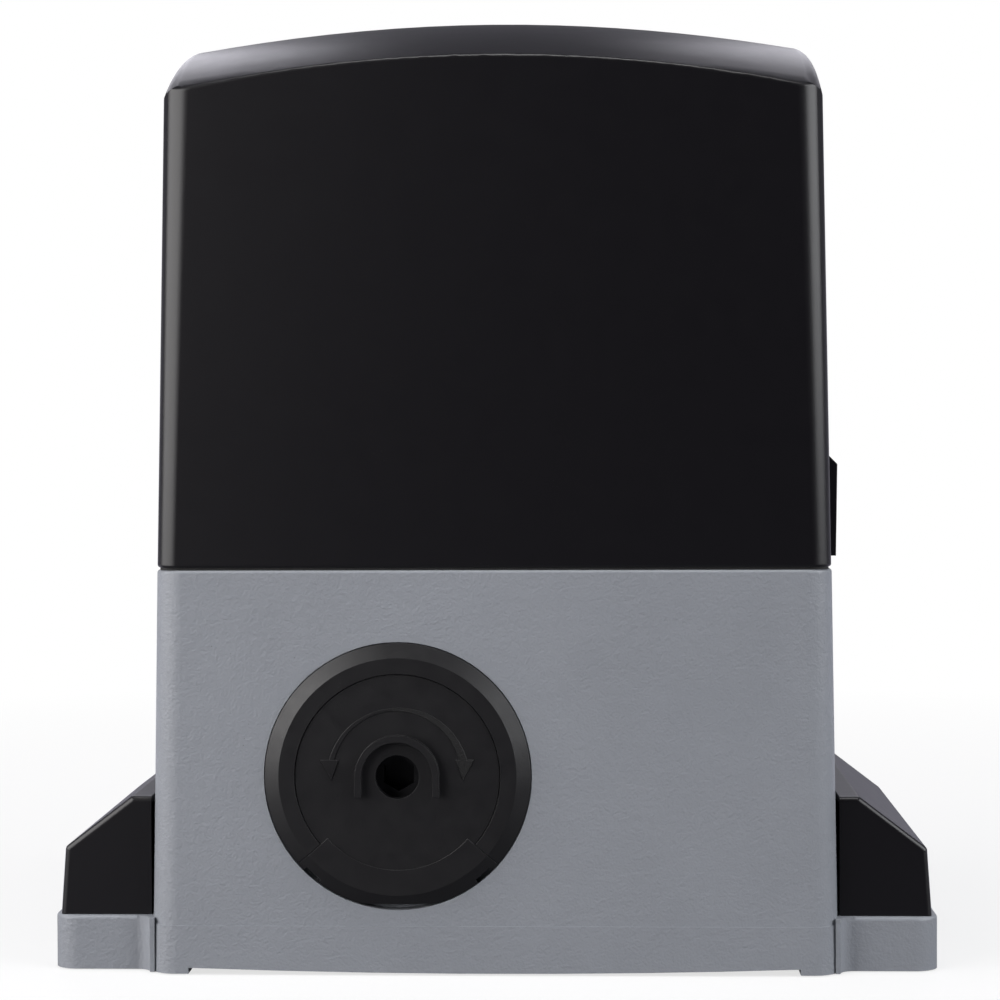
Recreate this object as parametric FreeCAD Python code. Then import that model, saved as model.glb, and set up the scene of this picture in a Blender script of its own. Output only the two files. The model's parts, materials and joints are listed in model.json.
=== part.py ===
import FreeCAD, Part
import math
import os

# Sliding gate motor: cast base with two foot flanges, moulded covers, vertical motor with a worm,
# and a horizontal output shaft with a key-operated release at the front and a rack pinion at the rear.
# Millimetres. +Z is up, the front faces -Y, +X is to the right of someone facing the front.
# The origin is the centre of the four anchor slots, on the underside.

V = FreeCAD.Vector
X_AXIS = V(1, 0, 0)
Y_AXIS = V(0, 1, 0)
Z_AXIS = V(0, 0, 1)

# ---------------------------------------------------------------- base casting
base_width = 229.0
base_depth = 171.4
base_corner_radius = 9.0
seam_height = 134.0
casting_draft_deg = 0.85
casting_wall = 6.5
plinth_proud = 0.3
plinth_height = 16.0
floor_bottom = 12.0
floor_thickness = 8.0
cavity_corner_radius = 5.0
chamber_right = 56.0
partition_thickness = 7.0
ledge_width = 6.0
ledge_thickness = 10.0
ledge_height = 108.0
lid_boss_radius = 7.5
lid_screw_inset = 8.0
rim_rounding = 1.0

flange_span = 296.2
flange_depth = 156.0
flange_thickness = 18.0
flange_corner_radius = 8.0
flange_root_radius = 5.0
flange_rounding = 1.2

anchor_spacing_x = 262.0
anchor_spacing_y = 110.0
anchor_slot_width = 11.0
anchor_slot_length = 20.0

pad_width = 13.0
underside_relief = 2.0
underside_relief_middle = 0.3
pocket_inset = 9.0
rib_thickness = 5.0
pocket_columns = 2
pocket_rows = 1
release_backing_wall = 5.0
release_backing_depth = 9.0
rear_boss_proud = 1.3
rear_boss_rim = 2.0

cable_bay_hole_radius = 16.0
cable_bay_hole_y = 0.0
grommet_wall = 5.0
grommet_lip = 3.0
grommet_lip_height = 2.5

# ---------------------------------------------------------------- top cover
cover_inset = 0.3
cover_wall = 3.0
cover_draft_deg = 1.7
cover_corner_radius = 7.0
crest_height = 323.6
crest_drop_sides = 10.0
crest_drop_front = 19.1
cover_top_rounding = 1.8
cover_bottom_rounding = 0.9
gasket_thickness = 0.8
gasket_edge_inset = 1.2
gasket_width = 3.0
snout_notch_side_gap = 0.6
snout_notch_top_gap = 0.8

side_pad_proud = 3.7
side_pad_length = 30.0
side_pad_y = -44.0
side_pad_bottom_gap = 2.6
side_pad_height = 35.0
side_pad_bevel = 4.0
cover_screw_radius = 3.0
cover_screw_head_radius = 5.5
cover_screw_head_height = 3.2
cover_screw_rise = 17.0
cover_screw_sink = 0.4
cover_screw_head_clearance = 0.5
cover_screw_tip = 2.0
cover_boss_radius = 8.5
cover_boss_depth = 3.6
ear_thickness = 5.0
ear_width = 22.0
ear_above_screw = 11.0
ear_wall_gap = 0.8
ear_foot_gap = 1.0
cover_nut_width = 10.0
cover_nut_thickness = 5.0
cover_nut_gap = 0.2

# ---------------------------------------------------------------- foot covers
foot_cover_height = 39.8
foot_cover_flat = 6.6
foot_cover_corner_height = 22.6
foot_cover_edge_inset = 2.2
foot_cover_body_gap = 0.9
foot_cover_taper = 1.6
foot_cover_wall = 2.5
foot_cover_rounding = 1.8
foot_peg_radius = 3.0
foot_peg_length = 7.0
foot_peg_pitch = 124.0
foot_peg_clearance = 0.1
foot_peg_wall_gap = 1.0
foot_web_thickness = 2.5
foot_web_height = 14.0
foot_web_lift = 1.5

# ---------------------------------------------------------------- output line
output_x = -31.6
output_z = 65.8
pinion_module = 4.0
pinion_teeth = 16
pinion_width = 26.0
pinion_hub_gap = 3.0
pinion_overhang = 1.0
pinion_backlash = 0.1
worm_module = 2.0
wheel_teeth = 30
wheel_width = 14.0
wheel_hub_radius = 19.0
wheel_hub_length = 24.0
worm_pitch_diameter = 22.0
mesh_backlash = 0.8
running_clearance = 0.03

shaft_front_radius = 10.0
shaft_seat_radius = 11.0
shaft_collar_radius = 17.0
shaft_collar_length = 6.0
shaft_rear_radius = 12.5
shaft_pinion_radius = 10.0
front_bearing_outer = 21.0
front_bearing_width = 12.0
rear_bearing_outer = 26.0
rear_bearing_width = 15.0
bearing_boss_wall = 6.0
rear_flange_thickness = 8.0
rear_flange_radius = 38.0
rear_flange_screw_circle = 31.0
rear_flange_screw_reach = 11.0
seal_outer = 19.0
seal_width = 7.0
seal_sink = 0.5
seal_bore_clearance = 0.06
spigot_clearance = 0.05

clutch_travel = 3.0
clutch_dog_height = 2.6
clutch_dogs = 4
clutch_dog_angle = 43.0
clutch_dog_inner = 13.5
clutch_length = 18.0
clutch_face_gap = 0.3
clutch_spring_height = 8.0
clutch_spring_sheet = 1.6
push_rod_radius = 4.0
cross_pin_radius = 2.5
pinion_bolt_radius = 5.0
pinion_bolt_across = 16.0
pinion_bolt_head = 6.4
pinion_washer_radius = 14.0
pinion_washer_thickness = 3.0
key_width = 6.0
key_height = 6.0
key_front_inset = 2.0
key_rear_inset = 3.0
pinion_bolt_reach = 22.0
pinion_bolt_hole_depth = 25.0
end_gap = 0.2

# ---------------------------------------------------------------- release at the front
recess_depth = 4.7
recess_clearance = 0.3
release_radius = 44.2
release_bevel = 4.8
release_bevel_rise = 2.5
release_stand_out = 2.6
release_plate_radius = 33.9
release_plate_set_back = 0.5
release_plate_thickness = 3.2
release_seam = 0.2
release_sector_half_deg = 49.0
key_hole_radius = 7.2
key_hole_lip = 1.6
key_hole_relief_radius = 8.6
rib_outer_radius = 14.0
rib_inner_radius = 11.8
rib_leg_length = 6.3
rib_height = 3.4
notch_angle_deg = 41.0
notch_length = 6.3
notch_depth = 1.5
bush_outer_radius = 15.0
spindle_radius = 10.0
spindle_flange_radius = 13.2
spindle_flange_thickness = 2.0
key_socket_across = 10.0
key_socket_depth = 9.0
screw_stem_radius = 5.0
slider_square = 16.0
slider_thickness = 3.5
slider_guide_clearance = 0.1
slider_front_gap = 0.9
slider_rear_gap = 3.0
stem_engagement = 7.0
stem_hole_spare = 0.5
spindle_length = 18.2
retainer_thickness = 1.0
retainer_key_gap = 0.6
plate_hub_lip = 3.0
plate_rim_width = 3.0

# ---------------------------------------------------------------- motor line
motor_radius = 58.0
stack_height = 66.0
rotor_radius = 30.5
air_gap = 0.7
motor_shaft_radius = 8.5
motor_journal_radius = 7.5
lower_bearing_outer = 16.0
lower_bearing_width = 9.0
middle_bearing_outer = 20.0
middle_bearing_width = 12.0
upper_bearing_outer = 17.5
upper_bearing_width = 11.0
bell_wall = 8.5
bell_height = 17.0
bell_plate = 5.0
bell_hub_wall = 5.0
winding_height = 11.0
winding_width = 13.0
worm_length = 44.0
lid_thickness = 8.0
lid_gasket_thickness = 0.8
lid_edge_gap = 0.3
through_bolt_radius = 2.5
through_bolt_circle = 53.7
bolt_thread_depth = 5.0
stack_flat_depth = 2.5
winding_gap = 2.0
rotor_overhang = 2.0
lid_hub_depth = 3.0
bearing_floor_lift = 6.0
worm_tip_share = 0.9
worm_root_share = 1.2
throat_share = 0.2

# ---------------------------------------------------------------- electrical parts
bracket_sheet = 1.5
bracket_top_z = 237.5
bracket_leg_y = 66.0
bracket_foot_length = 10.0
bracket_leg_left = -4.0
bracket_leg_width = 44.0
bracket_top_width = 168.0
board_width = 150.0
board_depth = 110.0
board_thickness = 1.6
board_spacer_height = 6.0
board_spacer_radius = 3.5
board_hole_inset = 7.0
board_hole_radius = 1.6
board_corner_radius = 3.0
board_pin_radius = 1.5
board_pin_below = 4.0
board_pin_above = 3.5
bracket_screw_inset = 9.0
bracket_screw_reach = 6.5
bracket_screw_head_radius = 3.6
bracket_screw_head_height = 3.0
capacitor_radius = 17.5
capacitor_height = 72.0
capacitor_x = -80.0
capacitor_y = 20.0
capacitor_rim_radius = 2.0
capacitor_tab_pitch = 14.0
capacitor_tab_width = 6.0
capacitor_tab_thickness = 0.8
capacitor_tab_height = 9.0
clamp_height = 22.0
clamp_clearance = 0.2
terminal_rows_left = -58.0
terminal_row_gap = 10.0
terminal_pitch = 5.0
terminal_poles = 10
terminal_depth = 11.0
terminal_height = 12.0
terminal_step_depth = 4.0
terminal_step_height = 7.0
terminal_edge_inset = 3.0
terminal_mouth_width = 3.4
terminal_mouth_height = 3.5
terminal_mouth_lift = 1.5
relay_width = 18.0
relay_depth = 16.0
relay_height = 16.0
relay_pitch = 22.0
relay_y = -16.0
transformer_x = 40.0
transformer_y = 25.0
transformer_width = 44.0
transformer_depth = 38.0
transformer_height = 34.0
transformer_yoke = 8.0
transformer_cheek = 7.0
transformer_leg = 10.0
transformer_lift = 2.0
coil_overhang = 6.0
coil_clearance = 0.3
coil_corner_radius = 3.0
coil_pin_width = 2.0
coil_pin_pitch = 20.0
coil_pin_height = 10.0
switch_width = 38.0
switch_depth = 17.0
switch_height = 35.0
snout_lift = 1.2
snout_width = 24.0
snout_reach = 12.0
snout_height = 14.0
snout_plate = 3.0
feeler_hub_radius = 5.0
feeler_pin_radius = 2.0
feeler_stub_radius = 2.2
feeler_stub_length = 16.0
feeler_spring_radius = 3.8
feeler_spring_length = 54.0
feeler_spring_start = 8.0
feeler_end_gap = 0.3
feeler_fork_clearance = 0.05

# ---------------------------------------------------------------- fasteners and fits
fit_clearance = 0.3
screw_radius = 2.5
screw_head_radius = 4.25
screw_head_height = 5.0
screw_hole_clearance = 0.15
lid_screw_length = 14.0


# ================================================================ worked-out places
def tan_deg(angle):
    return math.tan(math.radians(angle))


def casting_half_width(z):
    return base_width / 2 - z * tan_deg(casting_draft_deg)


def casting_half_depth(z):
    return base_depth / 2 - z * tan_deg(casting_draft_deg)


cover_bottom = seam_height + gasket_thickness
cover_half_width = casting_half_width(seam_height) - cover_inset
cover_half_depth = casting_half_depth(seam_height) - cover_inset


def cover_half_width_at(z):
    return cover_half_width - (z - cover_bottom) * tan_deg(cover_draft_deg)


def cover_half_depth_at(z):
    return cover_half_depth - (z - cover_bottom) * tan_deg(cover_draft_deg)


floor_top = floor_bottom + floor_thickness
cavity_half_width = casting_half_width(seam_height) - casting_wall
cavity_half_depth = casting_half_depth(seam_height) - casting_wall
partition_right = chamber_right + partition_thickness
bay_middle_x = (partition_right + cavity_half_width) / 2

lid_bottom = ledge_height + lid_gasket_thickness
lid_top = lid_bottom + lid_thickness

wheel_pitch_radius = worm_module * wheel_teeth / 2
motor_x = output_x + wheel_pitch_radius + worm_pitch_diameter / 2

front_face_y = -casting_half_depth(output_z)
recess_floor_y = front_face_y + recess_depth
release_face_y = front_face_y - release_stand_out
plate_face_y = release_face_y + release_plate_set_back

retainer_y = recess_floor_y + end_gap
spindle_front_y = retainer_y + retainer_thickness + end_gap
spindle_rear_y = spindle_front_y + spindle_length
slider_front_y = spindle_rear_y + slider_front_gap
slider_rear_y = slider_front_y + slider_thickness
bush_rear_y = slider_rear_y + clutch_travel + slider_rear_gap
front_bearing_y = bush_rear_y
shaft_front_y = front_bearing_y + end_gap
shaft_shoulder_y = front_bearing_y + front_bearing_width

wheel_rear_y = wheel_hub_length / 2
clutch_front_y = wheel_rear_y + clutch_face_gap
clutch_rear_y = clutch_front_y + clutch_length
cross_pin_y = clutch_front_y + clutch_length / 2
collar_y = clutch_rear_y + clutch_spring_height
rear_bearing_y = collar_y + shaft_collar_length
rear_face_y = casting_half_depth(output_z) + rear_boss_proud
rear_flange_y = rear_face_y + rear_flange_thickness
pinion_front_y = rear_flange_y + pinion_hub_gap
pinion_rear_y = pinion_front_y + pinion_width

bell_bottom_z = lid_top
stack_bottom_z = bell_bottom_z + bell_height
stack_top_z = stack_bottom_z + stack_height
bell_top_z = stack_top_z + bell_height
lower_bearing_z = floor_top + bearing_floor_lift
middle_bearing_z = lid_bottom - lid_hub_depth
upper_bearing_z = stack_top_z + bell_height - upper_bearing_width
motor_shaft_bottom = lower_bearing_z - 1.0
motor_shaft_top = upper_bearing_z + upper_bearing_width - 1.0

cover_screw_z = cover_bottom + side_pad_bottom_gap + cover_screw_rise
side_pad_x = cover_half_width_at(cover_screw_z) + side_pad_proud
cover_boss_x = cover_half_width_at(cover_screw_z) - cover_wall - cover_boss_depth
ear_outer_x = cover_boss_x - ear_wall_gap
ear_inner_x = ear_outer_x - ear_thickness

board_bottom = bracket_top_z + board_spacer_height
board_top = board_bottom + board_thickness

switch_y = cavity_half_depth - switch_depth - fit_clearance
snout_bottom = cover_bottom + snout_lift
feeler_y = cavity_half_depth + casting_wall + snout_reach / 2


# ================================================================ helpers
def block(x0, x1, y0, y1, z0, z1):
    return Part.makeBox(x1 - x0, y1 - y0, z1 - z0, V(x0, y0, z0))


def rod(radius, start, length, axis=Z_AXIS):
    return Part.makeCylinder(radius, length, start, axis)


def ring(outer, inner, start, length, axis=Z_AXIS):
    return rod(outer, start, length, axis).cut(rod(inner, start - axis, length + 2, axis))


def on_output(y, radius, length):
    """A cylinder about the output axis, from y towards the rear."""
    return rod(radius, V(output_x, y, output_z), length, Y_AXIS)


def output_ring(y, outer, inner, length):
    return ring(outer, inner, V(output_x, y, output_z), length, Y_AXIS)


def on_motor(z, radius, length):
    return rod(radius, V(motor_x, 0, z), length)


def motor_ring(z, outer, inner, length):
    return ring(outer, inner, V(motor_x, 0, z), length)


def polygon_face(points):
    return Part.Face(Part.makePolygon(points + [points[0]]))


def upright_edges(shape):
    """Straight edges that run mostly upwards."""
    found = []
    for edge in shape.Edges:
        first, last = edge.Vertexes[0].Point, edge.Vertexes[-1].Point
        if abs(last.z - first.z) > 0.9 * edge.Length:
            found.append(edge)
    return found


def rounded_block(x0, x1, y0, y1, z0, z1, radius):
    solid = block(x0, x1, y0, y1, z0, z1)
    return solid.makeFillet(radius, upright_edges(solid))


def frustum(half_width, half_depth, z0, z1, draft_deg, radius):
    """A block whose four walls lean inwards by the draft, with rounded upright corners."""
    lean = (z1 - z0) * tan_deg(draft_deg)
    corners = [(-1, -1), (1, -1), (1, 1), (-1, 1)]
    low = [V(i * half_width, j * half_depth, z0) for i, j in corners]
    high = [V(i * (half_width - lean), j * (half_depth - lean), z1) for i, j in corners]
    faces = [polygon_face(low[::-1]), polygon_face(high)]
    for n in range(4):
        m = (n + 1) % 4
        faces.append(polygon_face([low[n], low[m], high[m], high[n]]))
    shell = Part.makeShell(faces)
    shell.sewShape()
    solid = Part.makeSolid(shell)
    return solid.makeFillet(radius, upright_edges(solid))


def one_solid(shape):
    """The single solid of a finished boolean result."""
    return shape.removeSplitter().Solids[0]


def group(solids):
    return Part.makeCompound(solids)


def screw(x, y, z, length):
    """A socket-head screw standing on z, its shank reaching down."""
    head = rod(screw_head_radius, V(x, y, z), screw_head_height)
    shank = rod(screw_radius, V(x, y, z - length), length)
    return head.fuse(shank).removeSplitter().Solids[0]


def tooth_space(module, teeth, tip_radius, root_radius, deepen):
    """Plan of the space between two straight-rack-like teeth, about +X, as a closed wire in X and Y."""
    half_pitch_angle = math.pi / teeth / 2
    pitch_radius = module * teeth / 2
    pressure = math.radians(20)
    out = tip_radius + 1.0
    widen = (out - pitch_radius) * math.tan(pressure) / pitch_radius
    narrow = (pitch_radius - root_radius) * math.tan(pressure) / pitch_radius
    half_out = half_pitch_angle + widen + deepen / pitch_radius
    half_mid = half_pitch_angle + deepen / pitch_radius
    half_in = half_pitch_angle - narrow * 0.75 + deepen / pitch_radius

    def at(radius, angle):
        return V(radius * math.cos(angle), radius * math.sin(angle), 0)

    right = Part.Arc(at(root_radius, -half_in), at(pitch_radius, -half_mid), at(out, -half_out))
    left = Part.Arc(at(out, half_out), at(pitch_radius, half_mid), at(root_radius, half_in))
    edges = [
        right.toShape(),
        Part.makeLine(at(out, -half_out), at(out, half_out)),
        left.toShape(),
        Part.makeLine(at(root_radius, half_in), at(root_radius, -half_in)),
    ]
    return Part.Wire(edges)


# ================================================================ casting
def flange_plate():
    plate = rounded_block(-flange_span / 2, flange_span / 2, -flange_depth / 2, flange_depth / 2,
                          0, flange_thickness, flange_corner_radius)
    top_edges = [e for e in plate.Edges if min(v.Z for v in e.Vertexes) > flange_thickness - 0.01]
    return plate.makeFillet(flange_rounding, top_edges)


def flange_roots():
    """Concave fillets, in plan, where the flanges leave the body."""
    roots = []
    wall = casting_half_width(flange_thickness) - 1.0
    for i in (-1, 1):
        for j in (-1, 1):
            x, y = i * wall, j * flange_depth / 2
            reach = flange_root_radius + base_width / 2 + plinth_proud - wall
            far_x = i * (wall + reach)
            far_y = y + j * flange_root_radius
            knee = V(far_x - i * flange_root_radius * math.sqrt(0.5),
                     far_y - j * flange_root_radius * math.sqrt(0.5), 0)
            edge_x = far_x - i * flange_root_radius
            bow = Part.Arc(V(far_x, y, 0), knee, V(edge_x, far_y, 0)).toShape()
            wire = Part.Wire([
                bow,
                Part.makeLine(V(edge_x, far_y, 0), V(x, far_y, 0)),
                Part.makeLine(V(x, far_y, 0), V(x, y - j, 0)),
                Part.makeLine(V(x, y - j, 0), V(far_x, y - j, 0)),
                Part.makeLine(V(far_x, y - j, 0), V(far_x, y, 0)),
            ])
            roots.append(Part.Face(wire).extrude(V(0, 0, flange_thickness)))
    return roots


def anchor_slots():
    cuts = []
    straight = anchor_slot_length - anchor_slot_width
    radius = anchor_slot_width / 2
    for i in (-1, 1):
        for j in (-1, 1):
            x, y = i * anchor_spacing_x / 2, j * anchor_spacing_y / 2
            slot = block(x - straight / 2, x + straight / 2, y - radius, y + radius, -1, flange_thickness + 1)
            for end in (-1, 1):
                slot = slot.fuse(rod(radius, V(x + end * straight / 2, y, -1), flange_thickness + 2))
            cuts.append(slot.removeSplitter())
    return cuts


def foot_peg_places():
    x = flange_span / 2 - foot_cover_edge_inset - foot_cover_wall - foot_peg_radius - foot_peg_wall_gap
    return [(side * x, j * foot_peg_pitch / 2) for side in (-1, 1) for j in (-1, 1)]


def foot_peg_holes():
    radius = foot_peg_radius + foot_peg_clearance
    depth = foot_peg_length + 1.0
    return [rod(radius, V(x, y, flange_thickness - depth), depth + 1) for x, y in foot_peg_places()]


def underside_cuts():
    """Ribbed pocket under the floor, and the shallow arch between the corner pads."""
    cuts = []
    half_w, half_d = base_width / 2 - pocket_inset, base_depth / 2 - pocket_inset
    cell_w = (2 * half_w - (pocket_columns - 1) * rib_thickness) / pocket_columns
    cell_d = (2 * half_d - (pocket_rows - 1) * rib_thickness) / pocket_rows
    for column in range(pocket_columns):
        for row in range(pocket_rows):
            x = -half_w + column * (cell_w + rib_thickness)
            y = -half_d + row * (cell_d + rib_thickness)
            cuts.append(block(x, x + cell_w, y, y + cell_d, -1, floor_bottom))
    inner = base_width / 2 - pad_width
    arch = Part.Wire([
        Part.Arc(V(-inner, 0, underside_relief), V(0, 0, underside_relief_middle),
                 V(inner, 0, underside_relief)).toShape(),
        Part.makeLine(V(inner, 0, underside_relief), V(inner, 0, -1)),
        Part.makeLine(V(inner, 0, -1), V(-inner, 0, -1)),
        Part.makeLine(V(-inner, 0, -1), V(-inner, 0, underside_relief)),
    ])
    strip = Part.Face(arch).extrude(V(0, base_depth + 20, 0))
    strip.translate(V(0, -base_depth / 2 - 10, 0))
    cuts.append(strip)
    return cuts


def lid_screw_places():
    y = cavity_half_depth - lid_screw_inset
    left = -cavity_half_width + lid_screw_inset
    middle = output_x - switch_width / 2 - lid_screw_inset
    right = chamber_right - lid_screw_inset
    return [(x, j * y) for x in (left, middle, right) for j in (-1, 1)]


def chamber_cuts():
    """The gear chamber with its ledge for the lid, and the cable bay beside it."""
    w, d = cavity_half_width, cavity_half_depth
    ledge_bottom = ledge_height - ledge_thickness
    corner = cavity_corner_radius
    chamber = rounded_block(-w, chamber_right, -d, d, floor_top, ledge_bottom, corner)
    mouth = rounded_block(-w + ledge_width, chamber_right - ledge_width, -d + ledge_width, d - ledge_width,
                          ledge_bottom - 1, ledge_height + 1, corner)
    bosses = [rod(lid_boss_radius, V(x, y, ledge_bottom), ledge_thickness) for x, y in lid_screw_places()]
    mouth = mouth.cut(bosses)
    upper = rounded_block(-w, w, -d, d, ledge_height, seam_height + 1, corner)
    bay = rounded_block(partition_right, w, -d, d, floor_top, ledge_height + 1, corner)
    return [chamber, mouth, upper, bay]


def cover_ear(side):
    """Ear with an open-topped slot that the cover's side screw clamps on, and its root in the wall."""
    top = cover_screw_z + ear_above_screw
    y0, y1 = side_pad_y - ear_width / 2, side_pad_y + ear_width / 2
    x0, x1 = sorted((side * ear_inner_x, side * ear_outer_x))
    ear = block(x0, x1, y0, y1, lid_top + ear_foot_gap, top)
    root_x0, root_x1 = sorted((side * ear_inner_x, side * (cavity_half_width + 1)))
    ear = ear.fuse(block(root_x0, root_x1, y0, y1, lid_top + ear_foot_gap, seam_height))
    half = cover_screw_radius + fit_clearance
    slot = block(x0 - 1, x1 + 1, side_pad_y - half, side_pad_y + half, cover_screw_z, top + 1)
    seat = rod(half, V(x0 - 1, side_pad_y, cover_screw_z), ear_thickness + 2, X_AXIS)
    return ear.cut([slot, seat])


def make_housing():
    body = frustum(base_width / 2, base_depth / 2, 0, seam_height, casting_draft_deg, base_corner_radius)
    rim_edges = [e for e in body.Edges if min(v.Z for v in e.Vertexes) > seam_height - 0.01]
    body = body.makeFillet(rim_rounding, rim_edges)
    plinth = frustum(base_width / 2 + plinth_proud, base_depth / 2 + plinth_proud, 0, plinth_height,
                     casting_draft_deg, base_corner_radius)
    shell = body.fuse([plinth, flange_plate()] + flange_roots())
    shell = shell.fuse(on_output(recess_floor_y, rear_flange_radius + rear_boss_rim,
                                 rear_face_y - recess_floor_y))
    shell = shell.cut(underside_cuts() + anchor_slots() + foot_peg_holes())
    shell = shell.cut(chamber_cuts())

    backing = on_output(recess_floor_y, release_radius + release_backing_wall, release_backing_depth)
    backing = backing.common(block(-flange_span, flange_span, -base_depth, 0, 0, ledge_height))
    front_boss = on_output(recess_floor_y, front_bearing_outer + bearing_boss_wall,
                           shaft_shoulder_y - recess_floor_y)
    rear_boss = on_output(rear_bearing_y, rear_bearing_outer + bearing_boss_wall,
                          rear_face_y - rear_bearing_y)
    motor_boss = on_motor(floor_bottom + 1, lower_bearing_outer + bell_hub_wall,
                          lower_bearing_z + lower_bearing_width - floor_bottom - 1)
    shell = shell.fuse([backing, front_boss, rear_boss, motor_boss, cover_ear(-1), cover_ear(1)])

    cuts = [
        on_output(front_face_y - 5, release_radius + recess_clearance, recess_depth + 5),
        on_output(recess_floor_y - 1, bush_outer_radius, bush_rear_y - recess_floor_y + 1),
        on_output(front_bearing_y, front_bearing_outer, front_bearing_width + 1),
        on_output(rear_bearing_y - 1, rear_bearing_outer, rear_face_y - rear_bearing_y + 2),
        on_motor(lower_bearing_z, lower_bearing_outer, lower_bearing_width + 1),
        on_motor(motor_shaft_bottom - 1, motor_journal_radius + 2, 3),
        rod(cable_bay_hole_radius, V(bay_middle_x, cable_bay_hole_y, floor_bottom - 1), floor_thickness + 2),
    ]
    hole = screw_radius + screw_hole_clearance
    for x, y in lid_screw_places():
        cuts.append(rod(hole, V(x, y, ledge_height - ledge_thickness + 1), ledge_thickness + 1))
    for x, z in rear_flange_screw_places():
        depth = rear_flange_screw_reach + 1
        cuts.append(rod(hole, V(x, rear_face_y - depth, z), depth + 1, Y_AXIS))
    return one_solid(shell.cut(cuts))


# ================================================================ covers
def dome_cutter(inset):
    """What lies above the doubly curved crest of the cover, moved inwards by the inset."""
    half_w = cover_half_width_at(crest_height - crest_drop_front)
    half_d = cover_half_depth_at(crest_height - crest_drop_front)
    across = (half_w ** 2 + crest_drop_sides ** 2) / (2 * crest_drop_sides)
    along = (half_d ** 2 + crest_drop_front ** 2) / (2 * crest_drop_front)
    axis_z = crest_height - along
    radius = across - inset
    centre_z = crest_height - across
    reach = cover_half_width + 12

    def on_crest(x):
        return V(x, 0, centre_z + math.sqrt(radius ** 2 - x ** 2))

    high = crest_height + 60
    profile = Part.Wire([
        Part.Arc(on_crest(-reach), on_crest(0), on_crest(reach)).toShape(),
        Part.makeLine(on_crest(reach), V(reach, 0, high)),
        Part.makeLine(V(reach, 0, high), V(-reach, 0, high)),
        Part.makeLine(V(-reach, 0, high), on_crest(-reach)),
    ])
    sweep_deg = 110
    face = Part.Face(profile)
    face.rotate(V(0, 0, axis_z), X_AXIS, -sweep_deg / 2)
    return face.revolve(V(0, 0, axis_z), X_AXIS, sweep_deg)


def side_pad():
    """Raised pad on the cover's right side, round the head of the side screw."""
    bottom = cover_bottom + side_pad_bottom_gap
    top = bottom + side_pad_height
    inner = cover_half_width - cover_wall - 1
    points = [
        V(inner, 0, bottom),
        V(side_pad_x, 0, bottom),
        V(side_pad_x, 0, top - side_pad_bevel),
        V(side_pad_x - side_pad_bevel, 0, top),
        V(inner, 0, top),
    ]
    pad = polygon_face(points).extrude(V(0, side_pad_length, 0))
    pad.translate(V(0, side_pad_y - side_pad_length / 2, 0))
    return pad


def cover_boss(side):
    """Boss inside the cover wall behind a side screw's head."""
    start = V(side * cover_boss_x, side_pad_y, cover_screw_z)
    return rod(cover_boss_radius, start, cover_boss_depth + cover_wall / 2, X_AXIS * side)


def cover_screw_seat(side):
    """How far out a side screw's head rests: in the raised pad on the right, in the wall on the left."""
    face = side_pad_x if side > 0 else cover_half_width_at(cover_screw_z)
    return face - cover_screw_head_height - cover_screw_sink


def make_top_cover():
    outer = frustum(cover_half_width, cover_half_depth, cover_bottom, crest_height + 10,
                    cover_draft_deg, cover_corner_radius)
    outer = outer.cut(dome_cutter(0)).Solids[0]
    bottom_edges = [e for e in outer.Edges if max(v.Z for v in e.Vertexes) < cover_bottom + 0.01]
    outer = outer.makeFillet(cover_bottom_rounding, bottom_edges)
    lowest_top = crest_height - crest_drop_sides - crest_drop_front - 5
    top_edges = [e for e in outer.Edges if min(v.Z for v in e.Vertexes) > lowest_top]
    outer = outer.makeFillet(cover_top_rounding, top_edges)
    outer = outer.fuse(side_pad())

    cavity = frustum(cover_half_width - cover_wall, cover_half_depth - cover_wall, cover_bottom,
                     crest_height + 10, cover_draft_deg, cover_corner_radius - cover_wall)
    cavity = cavity.cut(dome_cutter(cover_wall)).Solids[0]
    floor_slice = block(-cover_half_width + cover_wall, cover_half_width - cover_wall,
                        -cover_half_depth + cover_wall, cover_half_depth - cover_wall,
                        cover_bottom - 1, cover_bottom)
    cover = outer.cut([cavity, floor_slice]).fuse([cover_boss(-1), cover_boss(1)])

    cuts = [snout_notch()]
    for side in (-1, 1):
        start = V(side * ear_inner_x, side_pad_y, cover_screw_z)
        cuts.append(rod(cover_screw_radius + fit_clearance, start, 20, X_AXIS * side))
        seat = V(side * cover_screw_seat(side), side_pad_y, cover_screw_z)
        cuts.append(rod(cover_screw_head_radius + cover_screw_head_clearance, seat, 10, X_AXIS * side))
    return one_solid(cover.cut(cuts))


def snout_notch():
    """Gap in the cover's rear wall, open at the bottom, for the limit switch."""
    half = snout_width / 2 + snout_notch_side_gap
    return block(output_x - half, output_x + half, cover_half_depth - cover_wall - 5, cover_half_depth + 5,
                 cover_bottom - 1, snout_bottom + snout_height + snout_notch_top_gap)


def make_cover_gasket():
    half_w = casting_half_width(seam_height) - gasket_edge_inset
    half_d = casting_half_depth(seam_height) - gasket_edge_inset
    top = seam_height + gasket_thickness
    outer = rounded_block(-half_w, half_w, -half_d, half_d, seam_height, top, 6)
    inner_w, inner_d = half_w - gasket_width, half_d - gasket_width
    return outer.cut(rounded_block(-inner_w, inner_w, -inner_d, inner_d, seam_height - 1, top + 1, 3))


def cover_screw_solid(side):
    seat = cover_screw_seat(side)
    inner_end = ear_inner_x - cover_nut_thickness - cover_screw_tip
    shank = rod(cover_screw_radius, V(side * inner_end, side_pad_y, cover_screw_z), seat - inner_end,
                X_AXIS * side)
    head = rod(cover_screw_head_radius, V(side * seat, side_pad_y, cover_screw_z), cover_screw_head_height,
               X_AXIS * side)
    return shank.fuse(head).removeSplitter().Solids[0]


def make_cover_screws():
    return group([cover_screw_solid(-1), cover_screw_solid(1)])


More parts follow.
